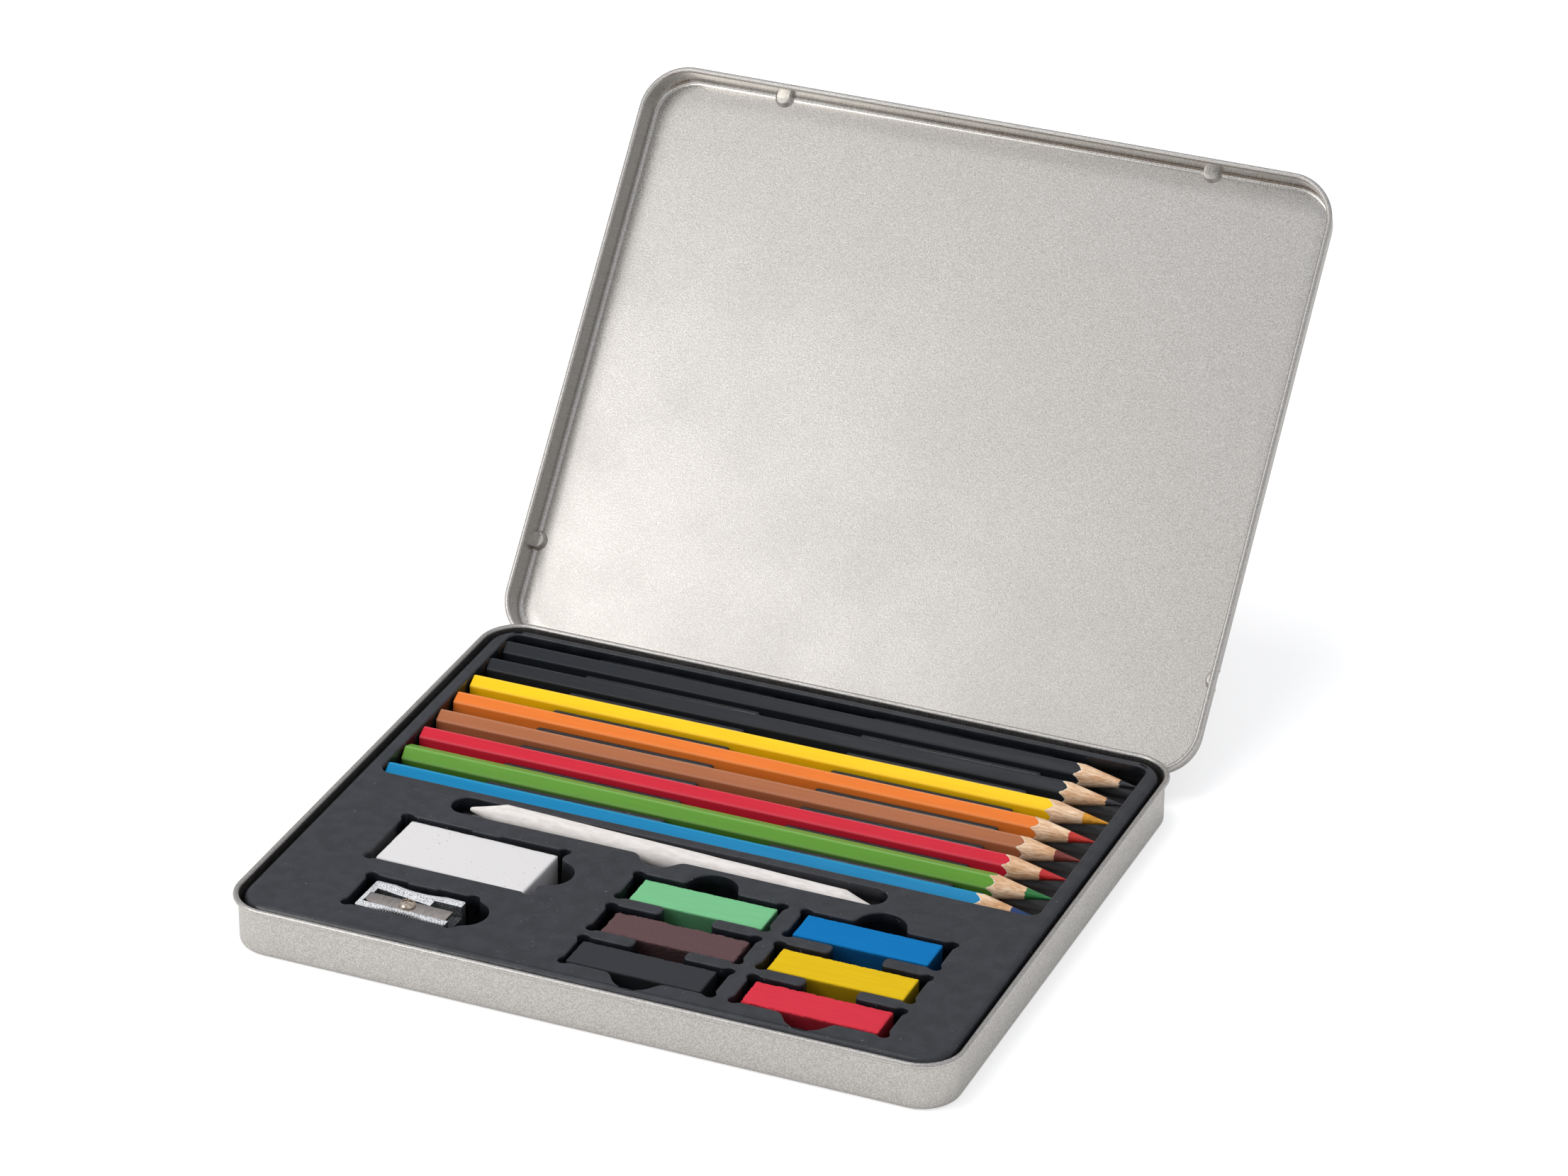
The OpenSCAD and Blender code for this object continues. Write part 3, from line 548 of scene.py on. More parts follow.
def pastel_field(cx):
    """Three pockets joined by a channel, with a finger hollow at the back and at the front."""
    def field(x, y):
        f = sd_relieved(x, y, cx, ROWS[0], *PASTEL_POCKET)
        for row in ROWS[1:]:
            f = np.minimum(f, sd_relieved(x, y, cx, row, *PASTEL_POCKET))
        f = melt(f, sd_rect(x, y, cx, (ROWS[0] + ROWS[2]) / 2, 13.3, ROWS[0] - ROWS[2]), 1.5)
        f = melt(f, sd_circle(x, y, cx, REAR_HOLLOW_Y, REAR_HOLLOW_R), 1.5)
        return melt(f, sd_circle(x, y, cx, FRONT_HOLLOW_Y, HOLLOW_R), 2.4)

    return field


def traced(field, low, high, h=0.25):
    """Points and outward normals along the one closed line on which the field is zero."""
    xs, ys = np.arange(low[0], high[0] + h, h), np.arange(low[1], high[1] + h, h)
    grid = field(xs[:, None], ys[None, :])
    inside = grid < 0
    nodes, joins = {}, {}

    def crossing(i, j, across):
        key = (i, j, across)
        if key not in nodes:
            a, b = grid[i, j], grid[i + (not across), j + across]
            t = a / (a - b)
            nodes[key] = (xs[i] + (0 if across else t * h), ys[j] + (t * h if across else 0))
        return key

    filled = inside[:-1, :-1].astype(int) + inside[1:, :-1] + inside[:-1, 1:] + inside[1:, 1:]
    for i, j in np.argwhere(filled % 4 != 0).tolist():
        hit = [
            crossing(a, b, across)
            for a, b, across in ((i, j, 0), (i + 1, j, 1), (i, j + 1, 0), (i, j, 1))
            if inside[a, b] != inside[a + (not across), b + across]
        ]
        for a, b in zip(hit[::2], hit[1::2]):
            joins.setdefault(a, []).append(b)
            joins.setdefault(b, []).append(a)
    start = next(iter(joins))
    order, before, here = [start], None, start
    while True:
        ahead = next((k for k in joins[here] if k != before), None)
        if ahead is None or ahead == start:
            break
        order.append(ahead)
        before, here = here, ahead
    points = np.array([nodes[k] for k in order])
    x, y = points.T
    for _ in range(3):
        across, along = field(x + NUDGE, y) - field(x - NUDGE, y), field(x, y + NUDGE) - field(x, y - NUDGE)
        slope = np.stack([across, along], 1) / (2 * NUDGE)
        size = np.maximum(np.linalg.norm(slope, axis=1, keepdims=True), 0.2)
        points = points - slope / size**2 * field(x, y)[:, None]
        x, y = points.T
    spacing = np.linalg.norm(points - np.roll(points, 1, 0), axis=1)
    points, slope = points[spacing > 0.05], slope[spacing > 0.05]
    normals = slope / np.linalg.norm(slope, axis=1, keepdims=True)
    return thinned(points, normals)


def thinned(points, normals):
    """Keeps few points on straight runs and one every few degrees in bends, anticlockwise."""
    x, y = points[:, 0], points[:, 1]
    if np.sum(x * np.roll(y, -1) - np.roll(x, -1) * y) < 0:
        points, normals = points[::-1], normals[::-1]
    ahead = np.roll(normals, -1, 0)
    cross = normals[:, 0] * ahead[:, 1] - normals[:, 1] * ahead[:, 0]
    turn = np.degrees(np.abs(np.arctan2(cross, (normals * ahead).sum(1))))
    gap = np.linalg.norm(np.roll(points, -1, 0) - points, axis=1)
    keep, turned, gone = [], 99.0, 99.0
    for i in range(len(points)):
        bend_starts = turn[i] > 0.8 and turn[i - 1] <= 0.8 and gone > 0.3
        bend_ends = turn[i] <= 0.8 and turn[i - 1] > 0.8 and gone > 0.3
        if turned > 6.5 or gone > 9.0 or bend_starts or bend_ends:
            keep.append(i)
            turned, gone = 0.0, 0.0
        turned += turn[i]
        gone += gap[i]
    return points[keep], normals[keep]


def bowl_near(points, places, reach, deep, shallow):
    """Bottom radius at each point: deep beside the finger hollows, shallow elsewhere."""
    near = np.full(len(points), 99.0)
    for cx, cy, r in places:
        near = np.minimum(near, np.abs(np.hypot(points[:, 0] - cx, points[:, 1] - cy) - r))
    blend = np.clip(1 - near / reach, 0, 1)
    blend = blend * blend * (3 - 2 * blend)
    return shallow + (deep - shallow) * blend


class Formed:
    """The sheet as it grows: vertices, faces, and the holes that the pockets leave in the deck."""

    def __init__(self):
        self.verts, self.faces, self.holes = [], [], []

    def ring(self, points):
        """Adds points and returns their indices."""
        first = len(self.verts)
        self.verts += [tuple(p) for p in points]
        return list(range(first, first + len(points)))

    def strip(self, a, b):
        """Faces between two rings of the same count."""
        n = len(a)
        self.faces += [(a[i], b[i], b[(i + 1) % n], a[(i + 1) % n]) for i in range(n)]

    def wall(self, points, normals, floor, edge_r, draft, bottom_r):
        """Deck edge, drafted wall and bottom bend of a pocket. Returns its lowest ring."""
        levels = [(edge_r + 0.15, DECK_Z)]
        for k in range(6):
            a = math.radians(18 * k)
            levels.append((edge_r * (1 - math.sin(a)), DECK_Z - edge_r * (1 - math.cos(a))))
        levels.append((-0.02 * draft, DECK_Z - edge_r - 0.12))
        for k in range(8):
            a = math.radians(90 * k / 7)
            levels.append((-draft - bottom_r * (1 - math.cos(a)), floor + bottom_r * (1 - math.sin(a))))
        levels.append((-draft - bottom_r - 0.1, floor))
        rings = []
        for offset, z in levels:
            spots = points + normals * np.broadcast_to(offset, bottom_r.shape)[:, None]
            rings.append(self.ring(np.c_[spots, np.broadcast_to(z, bottom_r.shape)]))
        for a, b in zip(rings, rings[1:]):
            self.strip(a, b)
        self.holes.append(rings[0])
        return rings[-1]

    def floor_over(self, ring):
        """Closes a ring with a level floor."""
        loop = [Vector((*self.verts[i][:2], 0)) for i in ring]
        for tri in tessellate_polygon([loop]):
            self.faces.append(tuple(ring[i] for i in tri))


def lane_floor(y):
    """Height of the pencils' pocket floor: shallow round troughs between flat lands."""
    lane = np.round((np.asarray(y, float) - FIRST_LANE_Y) / LANE_PITCH)
    off = y - FIRST_LANE_Y - lane * LANE_PITCH
    trough = LANE_Z - np.sqrt(np.maximum(TROUGH_R**2 - off**2, 0))
    in_trough = (np.abs(off) < TROUGH_HALF) & (lane <= 0) & (lane >= -7)
    return np.where(in_trough, np.minimum(trough, LAND_Z), LAND_Z)


formed = Formed()
hollows = [
    (slot_field, (-66, -24), (54, -6), [(SLOT_X, SLOT_HOLLOW_Y, SLOT_HOLLOW_R)], SLOT_Z, 3.1, 3.1),
    (
        tabbed_field(ERASER_X, ERASER_Y, *ERASER_POCKET), (-76, -47), (-20, -18),
        [(ERASER_X + ERASER_POCKET[0] / 2, ERASER_Y, HOLLOW_R)], POCKET_Z, 5.2, 0.45,
    ),
    (
        tabbed_field(SHARPENER_X, SHARPENER_Y, *SHARPENER_POCKET), (-72, -68), (-30, -47),
        [(SHARPENER_X + SHARPENER_POCKET[0] / 2, SHARPENER_Y, HOLLOW_R)], POCKET_Z, 5.2, 0.45,
    ),
]
for cx in COLUMNS:
    bowls = [(cx, REAR_HOLLOW_Y, REAR_HOLLOW_R), (cx, FRONT_HOLLOW_Y, HOLLOW_R)]
    hollows.append((pastel_field(cx), (cx - 23, -76), (cx + 23, -15), bowls, POCKET_Z, 5.4, 0.45))
for field, low, high, bowls, floor, deep, shallow in hollows:
    points, normals = traced(field, low, high)
    bottom = bowl_near(points, bowls, BOWL_REACH, deep, shallow)
    formed.floor_over(formed.wall(points, normals, floor, edge_r=0.45, draft=0.25, bottom_r=bottom))

# the pencils' pocket: its side walls get a vertex wherever a trough starts or ends
top_y, low_y = LANES_Y
offs = (2.6, TROUGH_HALF, 2.0, 1.5, 1.0, 0.5, 0, -0.5, -1.0, -1.5, -2.0, -TROUGH_HALF, -2.6)
marks = [FIRST_LANE_Y - lane * LANE_PITCH + off for lane in range(8) for off in offs]
corner = LANES_CORNER
half = LANES_HALF - corner
span = np.linspace(half - 0.5, 0.5 - half, 12)
straight = [y for y in marks if low_y + corner + 0.1 < y < top_y - corner - 0.1]
points, normals = [], []
for turn, centre, run in (
    (0, (half, top_y - corner), [(x, top_y) for x in span]),
    (90, (-half, top_y - corner), [(-LANES_HALF, y) for y in straight]),
    (180, (-half, low_y + corner), [(x, low_y) for x in span[::-1]]),
    (270, (half, low_y + corner), [(LANES_HALF, y) for y in straight[::-1]]),
):
    for k in range(9):
        a = math.radians(turn + 90 * k / 8)
        c, s = math.cos(a), math.sin(a)
        points.append((centre[0] + corner * c, centre[1] + corner * s))
        normals.append((c, s))
    points += run
    normals += [(round(c), round(s))] * len(run)
points, normals = np.array(points), np.array(normals)
bend = np.full(len(points), FOOT_BEND)
foot = formed.wall(points, normals, lane_floor(points[:, 1]), edge_r=0.5, draft=FOOT_DRAFT, bottom_r=bend)
for i in foot:
    x, y, _ = formed.verts[i]
    formed.verts[i] = (x, y, float(lane_floor(y)))
spots = [Vector(formed.verts[i][:2]) for i in foot]
index_of = list(foot)
edges = [(i, (i + 1) % len(foot)) for i in range(len(foot))]
foot_x = LANES_HALF - FOOT_DRAFT - FOOT_BEND - 0.1
left, right = ([i for i, p in enumerate(spots) if abs(p.x - side * foot_x) < 1e-3] for side in (-1, 1))
edges += [(i, j) for i in left for j in right if abs(spots[i].y - spots[j].y) < 1e-6]
for y in marks:
    if y not in straight and low_y + 0.8 < y < top_y - 0.8:
        spots += [Vector((-half, y)), Vector((half, y))]
        index_of += formed.ring([(-half, y, float(lane_floor(y))), (half, y, float(lane_floor(y)))])
        edges.append((len(spots) - 2, len(spots) - 1))
out_spots, _, out_faces, origin, _, _ = delaunay_2d_cdt(spots, edges, [list(range(len(foot)))], 1, 1e-6)
placed = []
for spot, came in zip(out_spots, origin):
    if came:
        placed.append(index_of[came[0]])
    else:
        placed += formed.ring([(spot.x, spot.y, float(lane_floor(spot.y)))])
formed.faces += [tuple(placed[i] for i in face) for face in out_faces]

# the outer skirt with its shoulder, and the deck between shoulder and pockets
skirt = [(0, TRAY_Z), (-TAPER, DECK_Z - SHOULDER - 0.3)]
for k in range(9):
    a = math.radians(90 * k / 8)
    skirt.append((-TAPER - SHOULDER + SHOULDER * math.cos(a), DECK_Z - SHOULDER + SHOULDER * math.sin(a)))
skirt.append((-TAPER - SHOULDER - 0.2, DECK_Z))
path = rounded_path(TRAY_W, TRAY_D, TRAY_CORNER)
verts, faces = swept(skirt, path, TRAY_CORNER)
first = len(formed.verts)
formed.verts += verts
formed.faces += [tuple(first + i for i in face) for face in faces]
rim = [first + j * len(skirt) + len(skirt) - 1 for j in range(len(path[0]))]
loops = [rim] + formed.holes
flat = [i for loop in loops for i in loop]
for tri in tessellate_polygon([[Vector((*formed.verts[i][:2], 0)) for i in loop] for loop in loops]):
    formed.faces.append(tuple(flat[i] for i in tri))

black_plastic, tree, shader = finish_of("formed_black_plastic", Roughness=0.45, Specular_IOR_Level=0.5)
mottle = grain_on(tree, Size=0.004, Detail=4.0, Dark=(35, 37, 42), Light=(43, 45, 51))["Color"]
dust = grain_on(tree, Size=0.0008, Detail=2.0, Low=0.72, High=0.78)["Mask"]
place = node_in(tree, "ShaderNodeTexCoord").outputs["Object"]
height = node_in(tree, "ShaderNodeSeparateXYZ", {0: place}).outputs["Z"]
# painted shade: the plastic's colour darkens with depth below the deck, down to a fifth from 3 mm below it,
# in place of the shade inside the pockets and under the shoulder
depth = remapped(tree, height, 0.2, 1.0, (DECK_Z - 3.0) * MM, (DECK_Z - 0.2) * MM)
toned = mixed(tree, 1.0, mixed(tree, dust, mottle, srgb(132, 132, 132)), depth, "MULTIPLY")
tree.links.new(toned, shader.inputs["Base Color"])
matt = remapped(tree, height, 0.14, 0.42, (DECK_Z - 0.7) * MM, (DECK_Z - 0.1) * MM)
below = remapped(tree, height, 0.3, 0.0, LAND_Z * MM, (LAND_Z + 0.4) * MM)
fine = grain_on(tree, Size=0.0006)["Mask"]
rough = maths(tree, "ADD", matt, remapped(tree, fine, -0.03, 0.05))
tree.links.new(maths(tree, "ADD", rough, below), shader.inputs["Roughness"])
waves = grain_on(tree, Size=0.012, Detail=2.0, Low=0.2, High=0.8)["Mask"]
soft = bump_on(tree, shader, waves, 0.25, 0.0006)
bump_on(tree, shader, fine, 0.12, 0.00004, under=soft)

tray = mesh_piece("tray_sheet", formed.verts, formed.faces, [black_plastic], closed=False)
shell = bmesh.new()
shell.from_mesh(tray.data)
bmesh.ops.remove_doubles(shell, verts=shell.verts, dist=0.000002)
bmesh.ops.recalc_face_normals(shell, faces=shell.faces)
shell.faces.ensure_lookup_table()
top = max(shell.faces, key=lambda f: f.calc_center_median().z + (1 if abs(f.normal.z) > 0.99 else 0))
if top.normal.z < 0:
    bmesh.ops.reverse_faces(shell, faces=shell.faces)
shell.to_mesh(tray.data)
shell.free()
thick = tray.modifiers.new("sheet", "SOLIDIFY")
thick.thickness = TRAY_SHEET * MM
thick.offset = -1
applied(tray)
smoothed(tray, 60)
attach(tray, "tray")
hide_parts("tray")

# the ribs between the pencils: one round-ended bar, repeated over the lands of both sides
RIB_L, RIB_W, RIB_TOP, RIB_X = 49.5, 2.4, 10.5, 38.4
RIB_FOOT = LAND_Z - 0.02
levels = (
    (-0.55, 0.0), (-0.3, 0.06), (-0.12, 0.22), (0.0, 0.5), (0.12, 2.9),
    (0.2, 3.2), (0.36, 3.48), (0.6, 3.65), (0.85, 3.7),
)
verts = []
for inset, rise in levels:
    half = RIB_W / 2 - inset
    for end, begin in (((RIB_L - RIB_W) / 2, -90), ((RIB_W - RIB_L) / 2, 90)):
        for k in range(12):
            a = math.radians(begin + 180 * k / 11)
            verts.append((end + half * math.cos(a), half * math.sin(a), RIB_FOOT + rise))
ribs = mesh_piece("tray_ribs", verts, tube_faces(len(levels), 24), [black_plastic])


def made_real(tree, instances, finish, given):
    """Ends a tree: its instances become mesh with one material."""
    real = node_in(tree, "GeometryNodeRealizeInstances", {0: instances}).outputs[0]
    coat = node_in(tree, "GeometryNodeSetMaterial", {"Geometry": real, "Material": finish}).outputs[0]
    tree.links.new(coat, given[0])
    return tree


def ribs_tree():
    """Geometry nodes that set copies of a bar at even steps along Y, on both sides of the middle."""
    tree, taken, given = new_tree(
        "ribs_on_the_lands", "GeometryNodeTree",
        (
            ("Bar", "Geometry"), ("Count", "Int"), ("Start", "Vector"), ("Step", "Vector"),
            ("Apart", "Vector"), ("Finish", "Material"),
        ),
        (("Bars", "Geometry"),),
    )
    joined = node_in(tree, "GeometryNodeJoinGeometry")
    flip = node_in(tree, "ShaderNodeVectorMath", {0: taken["Apart"], "Scale": -1.0}, operation="SCALE")
    for shift in (taken["Apart"], flip.outputs[0]):
        begin = node_in(tree, "ShaderNodeVectorMath", {0: taken["Start"], 1: shift}, operation="ADD")
        feeds = {"Count": taken["Count"], "Start Location": begin.outputs[0], "Offset": taken["Step"]}
        line = node_in(tree, "GeometryNodeMeshLine", feeds, mode="OFFSET").outputs[0]
        bars = node_in(tree, "GeometryNodeInstanceOnPoints", {"Points": line, "Instance": taken["Bar"]})
        tree.links.new(bars.outputs[0], joined.inputs[0])
    return made_real(tree, joined.outputs[0], taken["Finish"], given)


def grown(piece, tree, **values):
    """Runs a piece through geometry nodes with those values, and keeps the result as plain mesh."""
    nodes = piece.modifiers.new("nodes", "NODES")
    nodes.node_group = tree
    for item in tree.interface.items_tree:
        if item.name in values:
            nodes[item.identifier] = values[item.name]
    return applied(piece)


grown(
    ribs, ribs_tree(), Count=7, Start=(0.0, (FIRST_LANE_Y - LANE_PITCH / 2) * MM, 0.0),
    Step=(0.0, -LANE_PITCH * MM, 0.0), Apart=(RIB_X * MM, 0.0, 0.0), Finish=black_plastic,
)
smoothed(ribs, 50)
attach(ribs, "tray")

# behind the first pencil a narrow ledge of the same length stands along the back wall
LEDGE_W, LEDGE_BACK = 1.2, LANES_Y[0] + 0.1
verts, faces = [], []
for side in (-1, 1):
    first = len(verts)
    for inset, z in ((0.0, RIB_FOOT), (0.05, RIB_TOP - 0.6), (0.14, RIB_TOP - 0.2), (0.36, RIB_TOP)):
        end, front = RIB_L / 2 - inset, inset - LEDGE_W
        ring = ((-end, 0), (-end, front), (end, front), (end, 0))
        verts += [(side * RIB_X + x, LEDGE_BACK + y, z) for x, y in ring]
    faces += [tuple(first + i for i in face) for face in tube_faces(4, 4)]
ledges = mesh_piece("tray_ledges", verts, faces, [black_plastic])
smoothed(ledges, 50)
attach(ledges, "tray")


# The pencils. A slat of pale wood with a lead glued in, cut to six sides, dipped in lacquer,
# trimmed flat at one end and turned to a long cone at the other.
PENCILS = ("black_rear", "black_front", "yellow", "orange", "brown", "red", "green", "blue")
ROLLS = (0, 0, 1, 6, 2, 5, -12, 0)
PENCIL_L, PENCIL_R, CONE = 175.0, 3.45, 0.2
PENCIL_EDGE = 0.8
BLACK_LEAD_R, COLOUR_LEAD_R = 1.05, 1.5
WOOD, LACQUER, CUT = 0, 1, 2
LACQUERS = {
    "black": (33, 36, 41), "yellow": (250, 202, 20), "orange": (230, 122, 48), "brown": (166, 102, 66),
    "red": (202, 34, 54), "green": (97, 150, 54), "blue": (0, 124, 174),
}
LEADS = {
    "black": (62, 63, 68), "yellow": (226, 156, 30), "orange": (206, 48, 36), "brown": (128, 52, 42),
    "red": (206, 34, 36), "green": (40, 128, 62), "blue": (14, 56, 112),
}


def ripple(seed, turns, size):
    """A smooth random wave round the pencil, the same on each run."""
    chance = np.random.default_rng(seed)
    phases, sizes = chance.uniform(0, 6.28, turns), chance.uniform(0.3, 1.0, turns)
    rates = chance.integers(3, 3 + 3 * turns, turns)
    return lambda a: size * sum(s * np.sin(r * a + p) for s, r, p in zip(sizes, rates, phases)) / turns


def hexagon():
    """Angles and radii of six flats joined by small round edges, a corner at angle 0."""
    thirty = math.radians(30)
    corner_at, flat = PENCIL_R - PENCIL_EDGE / math.cos(thirty), PENCIL_R * math.cos(thirty)
    out = []
    for k in range(6):
        a = math.radians(60 * k)
        for off in (-30, -18, -6, 6, 18, 30):
            b = a + math.radians(off)
            out.append(
                (
                    corner_at * math.cos(a) + PENCIL_EDGE * math.cos(b),
                    corner_at * math.sin(a) + PENCIL_EDGE * math.sin(b),
                )
            )
        c, s = math.cos(a + thirty), math.sin(a + thirty)
        for t in (0.12, 0.5, 0.88):
            along = corner_at * math.sin(thirty) * (2 * t - 1)
            out.append((flat * c - along * s, flat * s + along * c))
    x, y = np.array(out).T
    return np.arctan2(y, x), np.hypot(x, y)


def wood_finish():
    """Bare cedar-like wood with darker fibres along the pencil."""
    made, tree, shader = finish_of("bare_wood", Roughness=0.7, Specular_IOR_Level=0.3)
    fibre = grain_on(
        tree, Size=0.0005, Stretch=(0.12, 1, 1), Detail=5.0, Low=0.3, High=0.66,
        Dark=(220, 182, 146), Light=(250, 228, 202),
    )
    cloud = grain_on(
        tree, Size=0.006, Stretch=(0.4, 1, 1), Detail=2.0, Dark=(226, 200, 176), Light=(255, 250, 244)
    )
    toned = mixed(tree, 1.0, fibre["Color"], cloud["Color"], "MULTIPLY")
    tree.links.new(toned, shader.inputs["Base Color"])
    bump_on(tree, shader, fibre["Mask"], 0.5, 0.00012)
    return made


def lacquer_finish(colour):
    """Lacquer of one colour over the wood, with a painted highlight along its round edges and faint streaks
    along the pencil.
    """
    tone, black = LACQUERS[colour], colour == "black"
    gloss = 0.16 if black else 0.1
    made, tree, shader = finish_of(f"lacquer_{colour}", Roughness=0.4, Specular_IOR_Level=gloss)
    deep = [c * 0.975 for c in tone]
    # painted highlight: towards the round edges the lacquer is mixed towards white, in place of the light the
    # edges would catch
    painted_edge_tone = [c + (255 - c) * (0.1 if black else 0.22) for c in tone]
    streak = grain_on(tree, Size=0.0012, Stretch=(0.06, 1, 1), Dark=deep, Light=tone)
    edge_part = node_in(tree, "ShaderNodeAttribute", attribute_name="edge").outputs["Fac"]
    lacquer_with_painted_edges = mixed(tree, remapped(tree, edge_part, 0.0, 0.6), streak["Color"], srgb(*painted_edge_tone))
    tree.links.new(lacquer_with_painted_edges, shader.inputs["Base Color"])
    tree.links.new(remapped(tree, streak["Mask"], 0.33, 0.28), shader.inputs["Roughness"])
    bump_on(tree, shader, streak["Mask"], 0.12, 0.00005)
    return made


def lead_finish(colour):
    """Waxy coloured lead, or graphite with a soft sheen, scored lightly by the sharpener."""
    tone = LEADS[colour]
    values = {"Roughness": 0.38, "Metallic": 0.35} if colour == "black" else {"Roughness": 0.5}
    made, tree, shader, scored = grained(
        f"lead_{colour}", values, Size=0.0006, Stretch=(0.15, 1, 1), Detail=4.0,
        Dark=[c * 0.82 for c in tone], Light=tone,
    )
    bump_on(tree, shader, scored, 0.4, 0.00008)
    return made


def laid(rings, angles, lane_y):
    """Points of the rings, given as (distance along, radius), round the pencil's line in its lane."""
    spots = []
    for along, radius in rings:
        x = np.broadcast_to(along, len(angles)) - PENCIL_L / 2
        spots.append(np.c_[x, lane_y + radius * np.sin(angles), LANE_Z - radius * np.cos(angles)])
    return np.concatenate(spots)


bare_wood = wood_finish()
primer = grained(
    "lacquer_edge", {"Roughness": 0.55}, Size=0.0004, Dark=(196, 186, 170), Light=(232, 226, 214)
)[0]
lacquers = {colour: lacquer_finish(colour) for colour in LACQUERS}
lead_finishes = {colour: lead_finish(colour) for colour in LEADS}
angles, radii = hexagon()
n = len(angles)
# how strongly each point of the hexagon takes the painted edge highlight: six points on a round edge, then
# three on the flat
EDGE_MARKS = [0.1, 0.5, 1, 1, 0.5, 0.1, 0, 0, 0]

for i, name in enumerate(PENCILS):
    colour = name.split("_")[0]
    lead_r = BLACK_LEAD_R if colour == "black" else COLOUR_LEAD_R
    lane_y = FIRST_LANE_Y - i * LANE_PITCH
    rolled = angles - math.radians(ROLLS[i])
    jag = ripple(20 + i, 7, 0.4)(angles) * 0.5
    torn = ripple(60 + i, 6, 0.75)(angles) + ripple(90 + i, 9, 0.3)(angles)
    rough_end = 0.12 + 0.06 * np.abs(ripple(120 + i, 5, 1.0)(angles))
    ends = PENCIL_L - radii / CONE + jag
    border = PENCIL_L - lead_r / CONE + torn * 0.8
    rings = [
        (0.0, lead_r), (0.0, radii - 0.32),
        (0.02, radii - 0.22 - rough_end * 0.2), (0.06, radii - rough_end * 0.6),
    ]
    rings += [(along, radii) for along in (0.3, 0.6, 40.0, 90.0, 140.0, ends - 0.9, ends - 0.28)]
    rings.append((ends - 0.06, radii - 0.05))
    for k in range(13):
        along = (ends + 0.04) * (1 - k / 12) + border * k / 12
        rings.append((along, CONE * (PENCIL_L - along) - 0.02))
    rings.append((border - 1.0, CONE * (PENCIL_L - border) - 0.4))
    strips = [WOOD, CUT] + [LACQUER] * 8 + [CUT] + [WOOD] * 14
    picks = [pick for pick in strips for _ in range(n)] + [WOOD, WOOD]
    casing = mesh_piece(
        f"{name}_casing", laid(rings, rolled, lane_y), tube_faces(len(rings), n),
        [bare_wood, lacquers[colour], primer], picks,
    )
    smoothed(casing, 40)
    marked(casing.data, "edge", np.tile(EDGE_MARKS, 6 * len(rings)))
    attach(casing, f"{name}_pencil")
    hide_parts(f"pencil_{name}")

    rings = [(0.0, lead_r * 0.55), (0.0, lead_r * 0.98), (0.3, lead_r * 0.98)]
    tip = PENCIL_L - 0.2 / CONE + 0.6
    for k in range(-1, 15):
        t = max(k, 0) / 14
        along = border * (1 - t) + tip * t
        shrink = 0.3 if k < 0 else 0.0
        rings.append((along - shrink, np.maximum(CONE * (PENCIL_L - along) - shrink, 0.1)))
    rings.append((PENCIL_L - 0.25, 0.05))
    core = mesh_piece(
        f"{name}_core", laid(rings, rolled, lane_y), tube_faces(len(rings), n), [lead_finishes[colour]]
    )
    smoothed(core, 45)
    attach(core, f"{name}_pencil")
    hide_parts(f"lead_{name}")


# The stump. Soft grey-white paper rolled tight and ground to a point at both ends, for rubbing
# out pencil strokes. It lies a little askew in its slot.
STUMP_L, STUMP_R, STUMP_CONE = 110.0, 3.3, 9.5
STUMP_AT, STUMP_TILT, STUMP_TURN = (-4.6, -11.85, 10.35), math.radians(1.35), math.radians(-0.5)
STUMP_AROUND, STUMP_OVERLAP = 48, 0.05
paper, tree, shader, felt = grained(
    "rolled_paper", {"Roughness": 0.9, "Specular_IOR_Level": 0.15},
    Size=0.0009, Stretch=(0.3, 1, 1), Detail=6.0, Dark=(214, 208, 204), Light=(225, 220, 216),
)
fuzz = grain_on(tree, Size=0.0003, Stretch=(0.3, 1, 1), Detail=4.0)["Mask"]
bump_on(tree, shader, fuzz, 0.2, 0.00008)
profile = [(-STUMP_L / 2, 0.15), (-STUMP_L / 2 + 0.12, 0.42), (-STUMP_L / 2 + 0.5, 0.62)]
for k in range(1, 10):
    t = k / 9
    swell = t - 0.03 * math.sin(math.pi * t)
    profile.append((-STUMP_L / 2 + STUMP_CONE * t, 0.5 + (STUMP_R - 0.5) * swell))
profile += [(x, STUMP_R) for x in np.linspace(-STUMP_L / 2 + STUMP_CONE + 0.6, 0, 12)]
profile += [(-x, r) for x, r in profile[::-1][1:]]
chance = np.random.default_rng(7)
verts = []
for x, r in profile:
    wobble = 1 + 0.006 * chance.standard_normal()
    for k in range(STUMP_AROUND):
        a = 2 * math.pi * k / STUMP_AROUND
        here = r * wobble - (STUMP_OVERLAP * k / STUMP_AROUND if r > 2 else 0)
        verts.append((x, here * math.cos(a), here * math.sin(a)))
stump = mesh_piece("paper_stump", verts, tube_faces(len(profile), STUMP_AROUND), [paper])
askew = Matrix.Rotation(STUMP_TURN, 4, "Z") @ Matrix.Rotation(STUMP_TILT, 4, "Y")
stump.data.transform(Matrix.Translation(Vector(STUMP_AT) * MM) @ askew)
smoothed(stump, 50)
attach(stump, "stump")
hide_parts("blending_stump")


# The eraser. A block of white vinyl cut from a bar, its long edges crisp and its ends a little
# rounded, with a few specks of dirt.
REST_Z = 2.25
ERASER_SIZE, ERASER_AT, ERASER_TURN = (40.2, 19.3, 10.0), (ERASER_X, -33.15, REST_Z), math.radians(-1.2)


